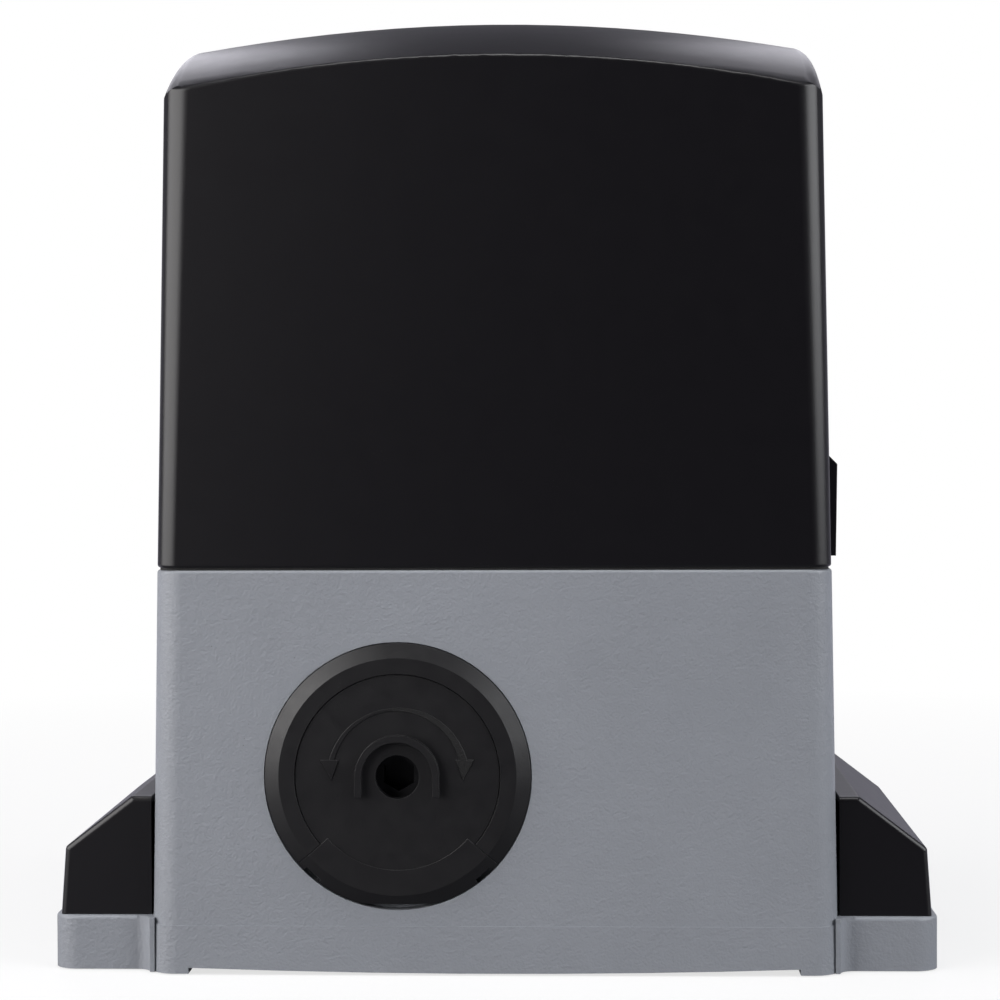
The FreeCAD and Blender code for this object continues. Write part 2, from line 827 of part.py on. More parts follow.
def make_cover_nuts():
    nuts = []
    half = cover_nut_width / 2
    outer = ear_inner_x - cover_nut_gap
    for side in (-1, 1):
        x0, x1 = sorted((side * (outer - cover_nut_thickness), side * outer))
        nut = block(x0, x1, side_pad_y - half, side_pad_y + half, cover_screw_z - half, cover_screw_z + half)
        nuts.append(nut.cut(rod(cover_screw_radius, V(x0 - 1, side_pad_y, cover_screw_z), 20, X_AXIS)))
    return group(nuts)


def foot_cover_profile(inset):
    """Section of a right foot cover, moved inwards by the inset, in X and Z."""
    bottom = flange_thickness
    inner = casting_half_width(flange_thickness) + foot_cover_body_gap
    outer = flange_span / 2 - foot_cover_edge_inset
    top = bottom + foot_cover_height
    knee = bottom + foot_cover_corner_height
    flat_end = inner + foot_cover_flat
    upper_outer = outer - foot_cover_taper
    low = bottom - (1 if inset else 0)
    side = inner - (1 if inset else 0)
    slope = math.atan2(top - knee, upper_outer - flat_end)
    shift_flat = inset * math.tan(slope / 2)
    shift_knee = inset * math.tan((math.pi / 2 - slope) / 2)
    return [
        V(side, 0, low),
        V(outer - inset, 0, low),
        V(upper_outer - inset, 0, knee - shift_knee),
        V(flat_end - shift_flat, 0, top - inset),
        V(side, 0, top - inset),
    ]


def make_foot_cover(side):
    half_depth = flange_depth / 2 - foot_cover_edge_inset
    outer = polygon_face(foot_cover_profile(0)).extrude(V(0, 2 * half_depth, 0))
    outer.translate(V(0, -half_depth, 0))
    inner = casting_half_width(flange_thickness) + foot_cover_body_gap
    soft = []
    for edge in outer.Edges:
        mid = edge.CenterOfMass
        if mid.z > flange_thickness + 1 and mid.x > inner + 0.5:
            soft.append(edge)
    outer = outer.makeFillet(foot_cover_rounding, soft)
    inside_depth = half_depth - foot_cover_wall
    hollow = polygon_face(foot_cover_profile(foot_cover_wall)).extrude(V(0, 2 * inside_depth, 0))
    hollow.translate(V(0, -inside_depth, 0))
    cover = outer.cut(hollow)
    for x, y in foot_peg_places():
        if x > 0:
            cover = cover.fuse(foot_peg(x, y))
    cover = one_solid(cover)
    if side < 0:
        cover = cover.mirror(V(0, 0, 0), X_AXIS)
    return cover


def foot_peg(x, y):
    """Locating peg with the web that ties it to the cover's outer wall."""
    peg = rod(foot_peg_radius, V(x, y, flange_thickness - foot_peg_length), foot_peg_length + foot_web_height)
    wall = flange_span / 2 - foot_cover_edge_inset - foot_cover_wall
    half = foot_web_thickness / 2
    web = block(x, wall + 1, y - half, y + half, flange_thickness + foot_web_lift,
                flange_thickness + foot_web_height)
    return peg.fuse(web)


# ================================================================ release cover
def around_output(points):
    """Full-turn solid from (radius, y) points about the output axis."""
    face = polygon_face([V(output_x + r, y, output_z) for r, y in points])
    return face.revolve(V(output_x, 0, output_z), Y_AXIS, 360)


def rim_section(inner_radius):
    face = release_face_y
    return [
        (inner_radius, recess_floor_y),
        (release_radius, recess_floor_y),
        (release_radius, face + release_bevel_rise),
        (release_radius - release_bevel, face),
        (inner_radius, face),
    ]


def lower_sector(half_deg, gap):
    """Wedge-shaped prism about straight down, its flanks moved inwards by the gap."""
    reach = release_radius + 20
    half = math.radians(half_deg)
    shift = gap / math.sin(half)
    y0 = release_face_y - 5
    apex = V(output_x, y0, output_z - shift)
    left = V(output_x - reach * math.sin(half), y0, output_z - shift - reach * math.cos(half))
    right = V(output_x + reach * math.sin(half), y0, output_z - shift - reach * math.cos(half))
    return polygon_face([apex, left, right]).extrude(V(0, recess_floor_y - y0 + 5, 0))


def make_release_ring():
    full = around_output(rim_section(release_plate_radius + release_seam))
    return one_solid(full.cut(lower_sector(release_sector_half_deg, 0)))


def make_release_plate():
    back = recess_floor_y
    disc = on_output(plate_face_y, release_plate_radius, back - plate_face_y)
    sector = around_output(rim_section(release_plate_radius - plate_rim_width))
    sector = sector.common(lower_sector(release_sector_half_deg, release_seam))
    plate = disc.fuse(sector)

    rib = on_output(plate_face_y - rib_height, rib_outer_radius, rib_height + 1)
    rib = rib.common(block(output_x - 30, output_x + 30, -200, 0, output_z, output_z + 30))
    legs = block(output_x - rib_outer_radius, output_x + rib_outer_radius, plate_face_y - rib_height,
                 plate_face_y + 1, output_z - rib_leg_length, output_z)
    inside = on_output(plate_face_y - rib_height - 1, rib_inner_radius, rib_height + 1)
    between = block(output_x - rib_inner_radius, output_x + rib_inner_radius, plate_face_y - rib_height - 1,
                    plate_face_y, output_z - rib_leg_length - 1, output_z)
    plate = plate.fuse(rib.fuse(legs).cut([inside, between]))

    hollow_y = plate_face_y + release_plate_thickness
    hollow = output_ring(hollow_y, release_plate_radius - plate_rim_width,
                         spindle_flange_radius + plate_hub_lip, 20)
    relief = on_output(plate_face_y + key_hole_lip, key_hole_relief_radius, 20)
    plate = plate.cut([hollow, relief, on_output(plate_face_y - 10, key_hole_radius, 30)])
    for sign in (-1, 1):
        notch = block(output_x - notch_length / 2, output_x + notch_length / 2, release_face_y - 1, back + 1,
                      output_z - release_radius - 5, output_z - release_radius + notch_depth)
        notch.rotate(V(output_x, 0, output_z), Y_AXIS, sign * notch_angle_deg)
        plate = plate.cut(notch)
    return one_solid(plate)


def make_release_bush():
    bush = on_output(recess_floor_y, bush_outer_radius, bush_rear_y - recess_floor_y)
    counterbore = on_output(recess_floor_y - 1, spindle_flange_radius + fit_clearance,
                            spindle_front_y + spindle_flange_thickness + end_gap - recess_floor_y + 1)
    bore = on_output(recess_floor_y, spindle_radius + running_clearance, spindle_rear_y + 1 - recess_floor_y)
    half = slider_square / 2 + slider_guide_clearance
    square = block(output_x - half, output_x + half, spindle_rear_y, bush_rear_y + 1,
                   output_z - half, output_z + half)
    return one_solid(bush.cut([counterbore, bore, square]))


def make_spindle_retainer():
    return output_ring(retainer_y, spindle_flange_radius + fit_clearance - running_clearance,
                       key_hole_radius + retainer_key_gap, retainer_thickness)


def make_release_spindle():
    flange = on_output(spindle_front_y, spindle_flange_radius, spindle_flange_thickness)
    body = on_output(spindle_front_y, spindle_radius, spindle_rear_y - spindle_front_y)
    corner = key_socket_across / 2 / math.cos(math.radians(30))
    points = []
    for n in range(6):
        turn = math.radians(60 * n + 30)
        points.append(V(output_x + corner * math.cos(turn), spindle_front_y - 1,
                        output_z + corner * math.sin(turn)))
    socket = polygon_face(points).extrude(V(0, key_socket_depth + 1, 0))
    depth = stem_engagement + stem_hole_spare
    thread = on_output(spindle_rear_y - depth, screw_stem_radius + running_clearance, depth + 1)
    return one_solid(flange.fuse(body).cut([socket, thread]))


def make_release_slider():
    half = slider_square / 2
    head = block(output_x - half, output_x + half, slider_front_y, slider_rear_y,
                 output_z - half, output_z + half)
    stem = on_output(spindle_rear_y - stem_engagement, screw_stem_radius,
                     slider_front_y - spindle_rear_y + stem_engagement + 1)
    return one_solid(head.fuse(stem))


# ================================================================ output line
def make_output_shaft():
    steps = [
        (shaft_front_y, shaft_front_radius, shaft_shoulder_y),
        (shaft_shoulder_y, shaft_seat_radius, collar_y),
        (collar_y, shaft_collar_radius, rear_bearing_y),
        (rear_bearing_y, shaft_rear_radius, pinion_front_y),
        (pinion_front_y, shaft_pinion_radius, pinion_rear_y - pinion_overhang),
    ]
    points = [(0.0, shaft_front_y)]
    for start, radius, end in steps:
        points += [(radius, start), (radius, end)]
    points.append((0.0, pinion_rear_y - pinion_overhang))
    shaft = around_output(points)
    half = cross_pin_radius + 0.1
    slot_rear = cross_pin_y + clutch_travel + cross_pin_radius + 0.5
    cuts = [
        on_output(shaft_front_y - 1, push_rod_radius + running_clearance, slot_rear + 3 - shaft_front_y),
        block(output_x - 30, output_x + 30, cross_pin_y - cross_pin_radius - 0.5, slot_rear,
              output_z - half, output_z + half),
        on_output(pinion_rear_y - pinion_bolt_hole_depth, pinion_bolt_radius + running_clearance,
                  pinion_bolt_hole_depth + 5),
        key_block(0.0),
    ]
    return one_solid(shaft.cut(cuts))


def key_block(side_gap):
    """Parallel key between shaft and pinion, standing on the shaft's flank."""
    half = key_width / 2 + side_gap
    low = output_z + shaft_pinion_radius - key_height / 2
    return block(output_x - half, output_x + half, pinion_front_y + key_front_inset,
                 pinion_rear_y - key_rear_inset,
                 low, low + key_height + side_gap)


def make_pinion_key():
    return key_block(0.0)


def make_drive_pinion():
    pitch_radius = pinion_module * pinion_teeth / 2
    tip = pitch_radius + pinion_module
    root = pitch_radius - 1.2 * pinion_module
    blank = on_output(pinion_front_y, tip, pinion_width)
    space = Part.Face(tooth_space(pinion_module, pinion_teeth, tip, root, pinion_backlash))
    space = space.extrude(V(0, 0, pinion_width + 2))
    space.rotate(V(0, 0, 0), X_AXIS, -90)
    space.translate(V(output_x, pinion_front_y - 1, output_z))
    cuts = []
    for n in range(pinion_teeth):
        copy = space.copy()
        copy.rotate(V(output_x, 0, output_z), Y_AXIS, 360.0 * n / pinion_teeth)
        cuts.append(copy)
    keyway = block(output_x - key_width / 2, output_x + key_width / 2, pinion_front_y - 1, pinion_rear_y + 1,
                   output_z, output_z + shaft_pinion_radius + key_height / 2)
    bore = on_output(pinion_front_y - 1, shaft_pinion_radius + running_clearance, pinion_width + 2)
    cuts += [bore, keyway]
    return one_solid(blank.cut(cuts))


def make_pinion_washer():
    return output_ring(pinion_rear_y, pinion_washer_radius, pinion_bolt_radius + screw_hole_clearance,
                       pinion_washer_thickness)


def make_pinion_bolt():
    head_y = pinion_rear_y + pinion_washer_thickness
    corner = pinion_bolt_across / 2 / math.cos(math.radians(30))
    points = []
    for n in range(6):
        turn = math.radians(60 * n)
        points.append(V(output_x + corner * math.cos(turn), head_y, output_z + corner * math.sin(turn)))
    head = polygon_face(points).extrude(V(0, pinion_bolt_head, 0))
    shank = on_output(pinion_rear_y - pinion_bolt_reach, pinion_bolt_radius,
                      head_y + 1 - pinion_rear_y + pinion_bolt_reach)
    return one_solid(head.fuse(shank))


def make_worm_wheel():
    tip = wheel_pitch_radius + worm_module
    root = wheel_pitch_radius - 1.3 * worm_module
    blank = on_output(-wheel_width / 2, tip, wheel_width)
    hub = on_output(-wheel_hub_length / 2, wheel_hub_radius, wheel_hub_length)
    lead_deg = math.degrees(math.atan(worm_module / worm_pitch_diameter))
    space = Part.Face(tooth_space(worm_module, wheel_teeth, tip, root, mesh_backlash / 2))
    space = space.extrude(V(0, 0, wheel_width * 1.5))
    space.translate(V(0, 0, -wheel_width * 0.75))
    space.rotate(V(0, 0, 0), X_AXIS, -90 + lead_deg)
    space.translate(V(output_x, 0, output_z))
    half_tooth = 180.0 / wheel_teeth
    cuts = []
    for n in range(wheel_teeth):
        copy = space.copy()
        copy.rotate(V(output_x, 0, output_z), Y_AXIS, 360.0 * n / wheel_teeth + half_tooth)
        cuts.append(copy)
    wheel = blank.cut(cuts).fuse([hub, clutch_teeth(wheel_rear_y - 1, 1.0, 0.0)])
    throat = rod(worm_pitch_diameter / 2 - worm_module * throat_share, V(motor_x, 0, 0), 200)
    bore = on_output(-100, shaft_seat_radius + running_clearance, 200)
    return one_solid(wheel.cut([throat, bore]))


def clutch_teeth(y, overlap, turn_deg):
    """Ring of dogs reaching from y towards the rear."""
    band = output_ring(y, wheel_hub_radius, clutch_dog_inner, clutch_dog_height + overlap)
    gaps = []
    reach = wheel_hub_radius + 5
    half = math.radians((360.0 / clutch_dogs - clutch_dog_angle) / 2)
    for n in range(clutch_dogs):
        gap = polygon_face([
            V(output_x, y - 1, output_z),
            V(output_x + reach * math.cos(half), y - 1, output_z + reach * math.sin(half)),
            V(output_x + reach * math.cos(half), y - 1, output_z - reach * math.sin(half)),
        ]).extrude(V(0, clutch_dog_height + overlap + 2, 0))
        gap.rotate(V(output_x, 0, output_z), Y_AXIS, 360.0 * n / clutch_dogs + turn_deg)
        gaps.append(gap)
    return band.cut(gaps)


def make_clutch_sleeve():
    """Sliding sleeve whose dogs fill the gaps between the wheel's dogs."""
    start = clutch_front_y + clutch_dog_height
    body = on_output(start, wheel_hub_radius, clutch_length - clutch_dog_height)
    turn = 180.0 / clutch_dogs
    dogs = clutch_teeth(clutch_front_y, 1.0, turn)
    cuts = [
        on_output(0, shaft_seat_radius + running_clearance, 100),
        rod(cross_pin_radius, V(output_x - 30, cross_pin_y, output_z), 60, X_AXIS),
    ]
    return one_solid(body.fuse(dogs).cut(cuts))


def make_clutch_pin():
    length = 2 * wheel_hub_radius - 1
    return rod(cross_pin_radius, V(output_x - length / 2, cross_pin_y, output_z), length, X_AXIS)


def make_push_rod():
    front = slider_rear_y + 0.1
    body = on_output(front, push_rod_radius, cross_pin_y + 4 - front)
    return one_solid(body.cut(rod(cross_pin_radius, V(output_x - 30, cross_pin_y, output_z), 60, X_AXIS)))


def make_clutch_spring():
    """Conical disc spring between the sleeve and the shaft's collar."""
    rise = clutch_spring_height - clutch_spring_sheet - 0.4
    outer, inner = wheel_hub_radius - 0.5, shaft_seat_radius + 1.0
    y = clutch_rear_y + 0.2
    return around_output([
        (outer, y),
        (outer, y + clutch_spring_sheet),
        (inner + 1.0, y + rise + clutch_spring_sheet),
        (inner, y + rise),
    ])


def make_shaft_spacer():
    length = -wheel_hub_length / 2 - shaft_shoulder_y - 0.2
    return output_ring(shaft_shoulder_y + 0.1, shaft_seat_radius + 3.5,
                       shaft_seat_radius + running_clearance, length)


def make_front_bearing():
    return output_ring(front_bearing_y, front_bearing_outer, shaft_front_radius + running_clearance,
                       front_bearing_width)


def make_rear_bearing():
    return output_ring(rear_bearing_y, rear_bearing_outer, shaft_rear_radius + running_clearance,
                       rear_bearing_width)


def rear_flange_screw_places():
    places = []
    for n in range(4):
        turn = math.radians(45 + 90 * n)
        places.append((output_x + rear_flange_screw_circle * math.cos(turn),
                       output_z + rear_flange_screw_circle * math.sin(turn)))
    return places


def make_rear_flange():
    """Bearing cap: a disc with a spigot that holds the rear bearing and carries the shaft seal."""
    spigot_y = rear_bearing_y + rear_bearing_width
    disc = on_output(rear_face_y, rear_flange_radius, rear_flange_thickness)
    spigot = on_output(spigot_y, rear_bearing_outer - spigot_clearance, rear_face_y - spigot_y + 1)
    cuts = [
        on_output(spigot_y - 1, shaft_rear_radius + 3, 100),
        on_output(rear_flange_y - seal_width - seal_sink, seal_outer, 20),
    ]
    for x, z in rear_flange_screw_places():
        cuts.append(rod(screw_radius + screw_hole_clearance, V(x, rear_face_y - 1, z), 20, Y_AXIS))
        seat = V(x, rear_flange_y - screw_head_height - end_gap, z)
        cuts.append(rod(screw_head_radius + fit_clearance, seat, 20, Y_AXIS))
    return one_solid(disc.fuse(spigot).cut(cuts))


def make_shaft_seal():
    return output_ring(rear_flange_y - seal_width - seal_sink, seal_outer,
                       shaft_rear_radius + seal_bore_clearance, seal_width)


def make_rear_flange_screws():
    screws = []
    seat = rear_flange_y - screw_head_height - end_gap
    tip = rear_face_y - rear_flange_screw_reach
    for x, z in rear_flange_screw_places():
        head = rod(screw_head_radius, V(x, seat, z), screw_head_height, Y_AXIS)
        shank = rod(screw_radius, V(x, tip, z), seat - tip, Y_AXIS)
        screws.append(one_solid(head.fuse(shank)))
    return group(screws)


# ================================================================ motor line
def make_gearcase_gasket():
    return lid_outline(ledge_height, lid_gasket_thickness).cut(lid_gasket_opening())


def lid_outline(z, thickness):
    gap = lid_edge_gap
    return rounded_block(-cavity_half_width + gap, partition_right - gap, -cavity_half_depth + gap,
                         cavity_half_depth - gap, z, z + thickness, cavity_corner_radius)


def lid_gasket_opening():
    inset = ledge_width + 0.5
    opening = rounded_block(-cavity_half_width + inset, chamber_right - inset, -cavity_half_depth + inset,
                            cavity_half_depth - inset, ledge_height - 1, ledge_height + 3,
                            cavity_corner_radius)
    bosses = [rod(lid_boss_radius, V(x, y, ledge_height - 1), 5) for x, y in lid_screw_places()]
    hole = screw_radius + screw_hole_clearance
    holes = [rod(hole, V(x, y, ledge_height - 1), 5) for x, y in lid_screw_places()]
    return opening.cut(bosses).fuse(holes)


def bracket_screw_places():
    x0 = bracket_leg_left + bracket_screw_inset
    x1 = bracket_leg_left + bracket_leg_width - bracket_screw_inset
    y = bracket_leg_y + (bracket_sheet + bracket_foot_length) / 2
    return [(x, j * y) for x in (x0, x1) for j in (-1, 1)]


def make_gearcase_lid():
    """Lid of the gear chamber, which is also the motor's mounting plate."""
    plate = lid_outline(lid_bottom, lid_thickness)
    hub_bottom = middle_bearing_z - lid_hub_depth
    hub = on_motor(hub_bottom, middle_bearing_outer + bell_hub_wall, lid_bottom - hub_bottom + 1)
    hole = screw_radius + screw_hole_clearance
    cuts = [
        on_motor(middle_bearing_z, middle_bearing_outer, 30),
        on_motor(hub_bottom - 1, motor_shaft_radius + 3, 30),
    ]
    cuts += [rod(hole, V(x, y, lid_bottom - 1), 20) for x, y in lid_screw_places()]
    depth = bolt_thread_depth + 1
    cuts += [rod(screw_radius, V(x, y, lid_top - depth), 10) for x, y in bracket_screw_places()]
    cuts += [rod(through_bolt_radius, V(x, y, lid_top - depth), 10) for x, y in through_bolt_places()]
    return one_solid(plate.fuse(hub).cut(cuts))


def make_lid_screws():
    return group([screw(x, y, lid_top, lid_screw_length) for x, y in lid_screw_places()])


def through_bolt_places():
    places = []
    for n in range(4):
        turn = math.radians(45 + 90 * n)
        places.append((motor_x + through_bolt_circle * math.cos(turn), through_bolt_circle * math.sin(turn)))
    return places


def through_bolt_holes(z, length):
    radius = through_bolt_radius + screw_hole_clearance
    return [rod(radius, V(x, y, z), length) for x, y in through_bolt_places()]


def make_motor_base():
    cup = on_motor(bell_bottom_z, motor_radius, bell_height)
    cuts = [
        on_motor(bell_bottom_z + bell_plate, motor_radius - bell_wall, bell_height),
        on_motor(bell_bottom_z - 1, middle_bearing_outer + 1, 20),
    ]
    return one_solid(cup.cut(cuts + through_bolt_holes(bell_bottom_z - 1, 30)))


def make_stator_stack():
    """Laminated stack with four lengthwise cooling flats."""
    stack = on_motor(stack_bottom_z, motor_radius, stack_height)
    flat = motor_radius - stack_flat_depth
    square = block(motor_x - flat, motor_x + flat, -flat, flat, stack_bottom_z - 1, stack_top_z + 1)
    bore = on_motor(stack_bottom_z - 1, rotor_radius + air_gap, stack_height + 2)
    holes = through_bolt_holes(stack_bottom_z - 1, stack_height + 2)
    return one_solid(stack.common(square).cut([bore] + holes))


def make_stator_windings():
    inner = rotor_radius + air_gap + winding_gap
    outer = inner + winding_width
    low = motor_ring(stack_bottom_z - winding_height, outer, inner, winding_height)
    high = motor_ring(stack_top_z, outer, inner, winding_height)
    return group([low, high])


def make_motor_end_bell():
    shell = on_motor(stack_top_z, motor_radius, bell_height)
    hub = on_motor(upper_bearing_z - 2, upper_bearing_outer + bell_hub_wall, upper_bearing_width + 4)
    hollow = on_motor(stack_top_z - 1, motor_radius - bell_wall, bell_height - bell_plate + 1)
    cuts = [on_motor(upper_bearing_z - 5, upper_bearing_outer, upper_bearing_width + 5)]
    return one_solid(shell.cut(hollow).fuse(hub).cut(cuts + through_bolt_holes(stack_top_z - 1, 40)))


def make_motor_bolts():
    bolts = []
    bottom = lid_top - bolt_thread_depth
    for x, y in through_bolt_places():
        head = rod(screw_head_radius, V(x, y, bell_top_z), screw_head_height)
        shank = rod(through_bolt_radius, V(x, y, bottom), bell_top_z - bottom)
        bolts.append(one_solid(head.fuse(shank)))
    return group(bolts)


def motor_bearing(z, outer, inner, width):
    return motor_ring(z, outer, inner + running_clearance, width)


def make_motor_shaft():
    """Motor shaft with the worm cut on it, in one piece."""
    worm_low = output_z - worm_length / 2
    worm_high = output_z + worm_length / 2
    root = worm_pitch_diameter / 2 - worm_root_share * worm_module
    lower_shoulder = lower_bearing_z + lower_bearing_width + end_gap
    upper_shoulder = upper_bearing_z - end_gap
    steps = [
        (motor_shaft_bottom, motor_journal_radius, lower_shoulder),
        (lower_shoulder, root, worm_high),
        (worm_high, motor_shaft_radius, upper_shoulder),
        (upper_shoulder, motor_journal_radius, motor_shaft_top),
    ]
    points = [V(motor_x, 0, motor_shaft_bottom)]
    for start, radius, end in steps:
        points += [V(motor_x + radius, 0, start), V(motor_x + radius, 0, end)]
    points.append(V(motor_x, 0, motor_shaft_top))
    core = polygon_face(points).revolve(V(motor_x, 0, 0), Z_AXIS, 360)
    return one_solid(core.fuse(worm_thread(worm_low, worm_high, root)))


def worm_thread(low, high, root):
    """One-start thread: a trapezium swept along a helix, right-handed, a crest at the height of the wheel."""
    pitch = math.pi * worm_module
    turns = math.floor((high - low) / pitch) - 1
    height = turns * pitch
    tip = worm_pitch_diameter / 2 + worm_module * worm_tip_share
    pressure = math.tan(math.radians(20))
    half_pitch_line = pitch / 4 - mesh_backlash / 2
    half_tip = half_pitch_line - (tip - worm_pitch_diameter / 2) * pressure
    base = root - 0.4
    half_base = half_pitch_line + (worm_pitch_diameter / 2 - base) * pressure
    helix = Part.makeHelix(pitch, height, worm_pitch_diameter / 2)
    section = Part.makePolygon([
        V(base, 0, -half_base), V(tip, 0, -half_tip), V(tip, 0, half_tip), V(base, 0, half_base),
        V(base, 0, -half_base),
    ])
    thread = Part.Wire(helix).makePipeShell([section], True, True)
    thread.translate(V(motor_x, 0, output_z - height / 2))
    return thread


def make_rotor():
    return motor_ring(stack_bottom_z - rotor_overhang, rotor_radius, motor_shaft_radius + running_clearance,
                      stack_height + 2 * rotor_overhang)


# ================================================================ electrical parts
def make_capacitor():
    base = lid_top + bracket_sheet + clamp_clearance
    body = rod(capacitor_radius, V(capacitor_x, capacitor_y, base), capacitor_height)
    rim = [e for e in body.Edges if e.Vertexes[0].Z > base + 1 and len(e.Vertexes) == 1]
    body = body.makeFillet(capacitor_rim_radius, rim)
    top = base + capacitor_height
    tabs = []
    for sign in (-1, 1):
        x = capacitor_x + sign * capacitor_tab_pitch / 2
        tabs.append(block(x - capacitor_tab_thickness / 2, x + capacitor_tab_thickness / 2,
                          capacitor_y - capacitor_tab_width / 2, capacitor_y + capacitor_tab_width / 2,
                          top - 1, top + capacitor_tab_height))
    return one_solid(body.fuse(tabs))


def make_capacitor_clamp():
    """Cup screwed to the lid that holds the capacitor upright."""
    inner = capacitor_radius + clamp_clearance
    cup = rod(inner + bracket_sheet, V(capacitor_x, capacitor_y, lid_top), clamp_height)
    hollow = rod(inner, V(capacitor_x, capacitor_y, lid_top + bracket_sheet), clamp_height)
    return one_solid(cup.cut(hollow))


def make_board_bracket():
    """Folded steel bridge over the motor, standing on the lid."""
    t = bracket_sheet
    leg, foot = bracket_leg_y, bracket_leg_y + bracket_foot_length
    x0, x1 = bracket_leg_left, bracket_leg_left + bracket_leg_width
    legs = []
    for j in (-1, 1):
        y0, y1 = sorted((j * leg, j * foot))
        legs.append(block(x0, x1, y0, y1, lid_top, lid_top + t))
        y0, y1 = sorted((j * leg, j * (leg + t)))
        legs.append(block(x0, x1, y0, y1, lid_top, bracket_top_z))
    half = bracket_top_width / 2
    top = block(-half, half, -leg - t, leg + t, bracket_top_z - t, bracket_top_z)
    holes = [rod(screw_radius + screw_hole_clearance, V(x, y, lid_top - 1), t + 2)
             for x, y in bracket_screw_places()]
    holes += [rod(board_hole_radius, V(x, y, bracket_top_z - t - 1), t + 2) for x, y in board_hole_places()]
    return one_solid(top.fuse(legs).cut(holes))


def make_bracket_screws():
    screws = []
    seat = lid_top + bracket_sheet
    for x, y in bracket_screw_places():
        head = rod(bracket_screw_head_radius, V(x, y, seat), bracket_screw_head_height)
        shank = rod(screw_radius, V(x, y, seat - bracket_screw_reach), bracket_screw_reach)
        screws.append(one_solid(head.fuse(shank)))
    return group(screws)


def board_hole_places():
    x = board_width / 2 - board_hole_inset
    y = board_depth / 2 - board_hole_inset
    return [(i * x, j * y) for i in (-1, 1) for j in (-1, 1)]


def make_board_spacers():
    spacers = []
    pin_length = board_pin_below + board_spacer_height + board_pin_above
    for x, y in board_hole_places():
        body = rod(board_spacer_radius, V(x, y, bracket_top_z), board_spacer_height)
        pin = rod(board_pin_radius, V(x, y, bracket_top_z - board_pin_below), pin_length)
        spacers.append(one_solid(body.fuse(pin)))
    return group(spacers)


def make_control_board():
    board = rounded_block(-board_width / 2, board_width / 2, -board_depth / 2, board_depth / 2,
                          board_bottom, board_top, board_corner_radius)
    holes = [rod(board_hole_radius, V(x, y, board_bottom - 1), board_thickness + 2)
             for x, y in board_hole_places()]
    return one_solid(board.cut(holes))


def terminal_row(x0):
    """Stepped screw terminals along the board's front edge, each pole with a mouth for its wire."""
    y = -board_depth / 2 + terminal_edge_inset
    step_z, top_z = board_top + terminal_step_height, board_top + terminal_height
    section = polygon_face([
        V(x0, y, board_top), V(x0, y, step_z), V(x0, y + terminal_step_depth, step_z),
        V(x0, y + terminal_step_depth + 1.5, top_z), V(x0, y + terminal_depth, top_z),
        V(x0, y + terminal_depth, board_top),
    ])
    row = section.extrude(V(terminal_pitch * terminal_poles, 0, 0))
    mouths = []
    for n in range(terminal_poles):
        left = x0 + terminal_pitch * (n + 0.5) - terminal_mouth_width / 2
        mouths.append(block(left, left + terminal_mouth_width, y - 1, y + terminal_step_depth - 1,
                            board_top + terminal_mouth_lift,
                            board_top + terminal_mouth_lift + terminal_mouth_height))
    return one_solid(row.cut(mouths))


def make_terminal_blocks():
    second = terminal_rows_left + terminal_pitch * terminal_poles + terminal_row_gap
    return group([terminal_row(terminal_rows_left), terminal_row(second)])


def make_relays():
    relays = []
    for n in range(3):
        x = terminal_rows_left + relay_pitch * n
        relays.append(block(x, x + relay_width, relay_y - relay_depth / 2, relay_y + relay_depth / 2,
                            board_top, board_top + relay_height))
    return group(relays)


def transformer_block(half_width, half_depth, low, high):
    return block(transformer_x - half_width, transformer_x + half_width, transformer_y - half_depth,
                 transformer_y + half_depth, low, high)


def make_transformer_core():
    half_width, half_depth = transformer_width / 2, transformer_depth / 2
    low = board_top + transformer_lift
    high = low + transformer_height
    window_low, window_high = low + transformer_cheek, high - transformer_cheek
    core = transformer_block(half_width, half_depth, low, high)
    window = transformer_block(half_width - transformer_yoke, half_depth + 1, window_low, window_high)
    leg = transformer_block(transformer_leg / 2, half_depth, window_low, window_high)
    return one_solid(core.cut(window).fuse(leg))


def make_transformer_coil():
    """Coil former in the core's window, with the four pins it stands on."""
    low = board_top + transformer_lift + transformer_cheek + coil_clearance
    high = board_top + transformer_lift + transformer_height - transformer_cheek - coil_clearance
    half_width = transformer_width / 2 - transformer_yoke - coil_clearance
    half_depth = transformer_depth / 2 + coil_overhang
    coil = rounded_block(transformer_x - half_width, transformer_x + half_width, transformer_y - half_depth,
                         transformer_y + half_depth, low, high, coil_corner_radius)
    hole = transformer_block(transformer_leg / 2 + coil_clearance, transformer_depth / 2 + coil_clearance,
                             low - 1, high + 1)
    pins = []
    for i in (-1, 1):
        for j in (-1, 1):
            x = transformer_x + i * coil_pin_pitch / 2
            y = transformer_y + j * (half_depth - coil_pin_width)
            pins.append(block(x - coil_pin_width / 2, x + coil_pin_width / 2, y - coil_pin_width / 2,
                              y + coil_pin_width / 2, board_top, board_top + coil_pin_height))
    return one_solid(coil.cut(hole).fuse(pins))


# ================================================================ limit switch
def make_limit_switch():
    """Switch box inside the rear wall, with a forked snout that reaches out under the cover's edge."""
    half = switch_width / 2
    box = block(output_x - half, output_x + half, switch_y, switch_y + switch_depth, lid_top,
                lid_top + switch_height)
    nose = snout_width / 2
    front = switch_y + switch_depth - 1
    tip = feeler_y + snout_reach / 2
    snout = block(output_x - nose, output_x + nose, front, tip, snout_bottom, snout_bottom + snout_height)
    fork = block(output_x - 40, output_x + 40, feeler_y - snout_reach / 2, tip + 1,
                 snout_bottom + snout_plate, snout_bottom + snout_height - snout_plate)
    pin_hole = rod(feeler_pin_radius + feeler_fork_clearance, V(output_x, feeler_y, snout_bottom - 1),
                   snout_height + 2)
    return one_solid(box.fuse(snout).cut([fork, pin_hole]))


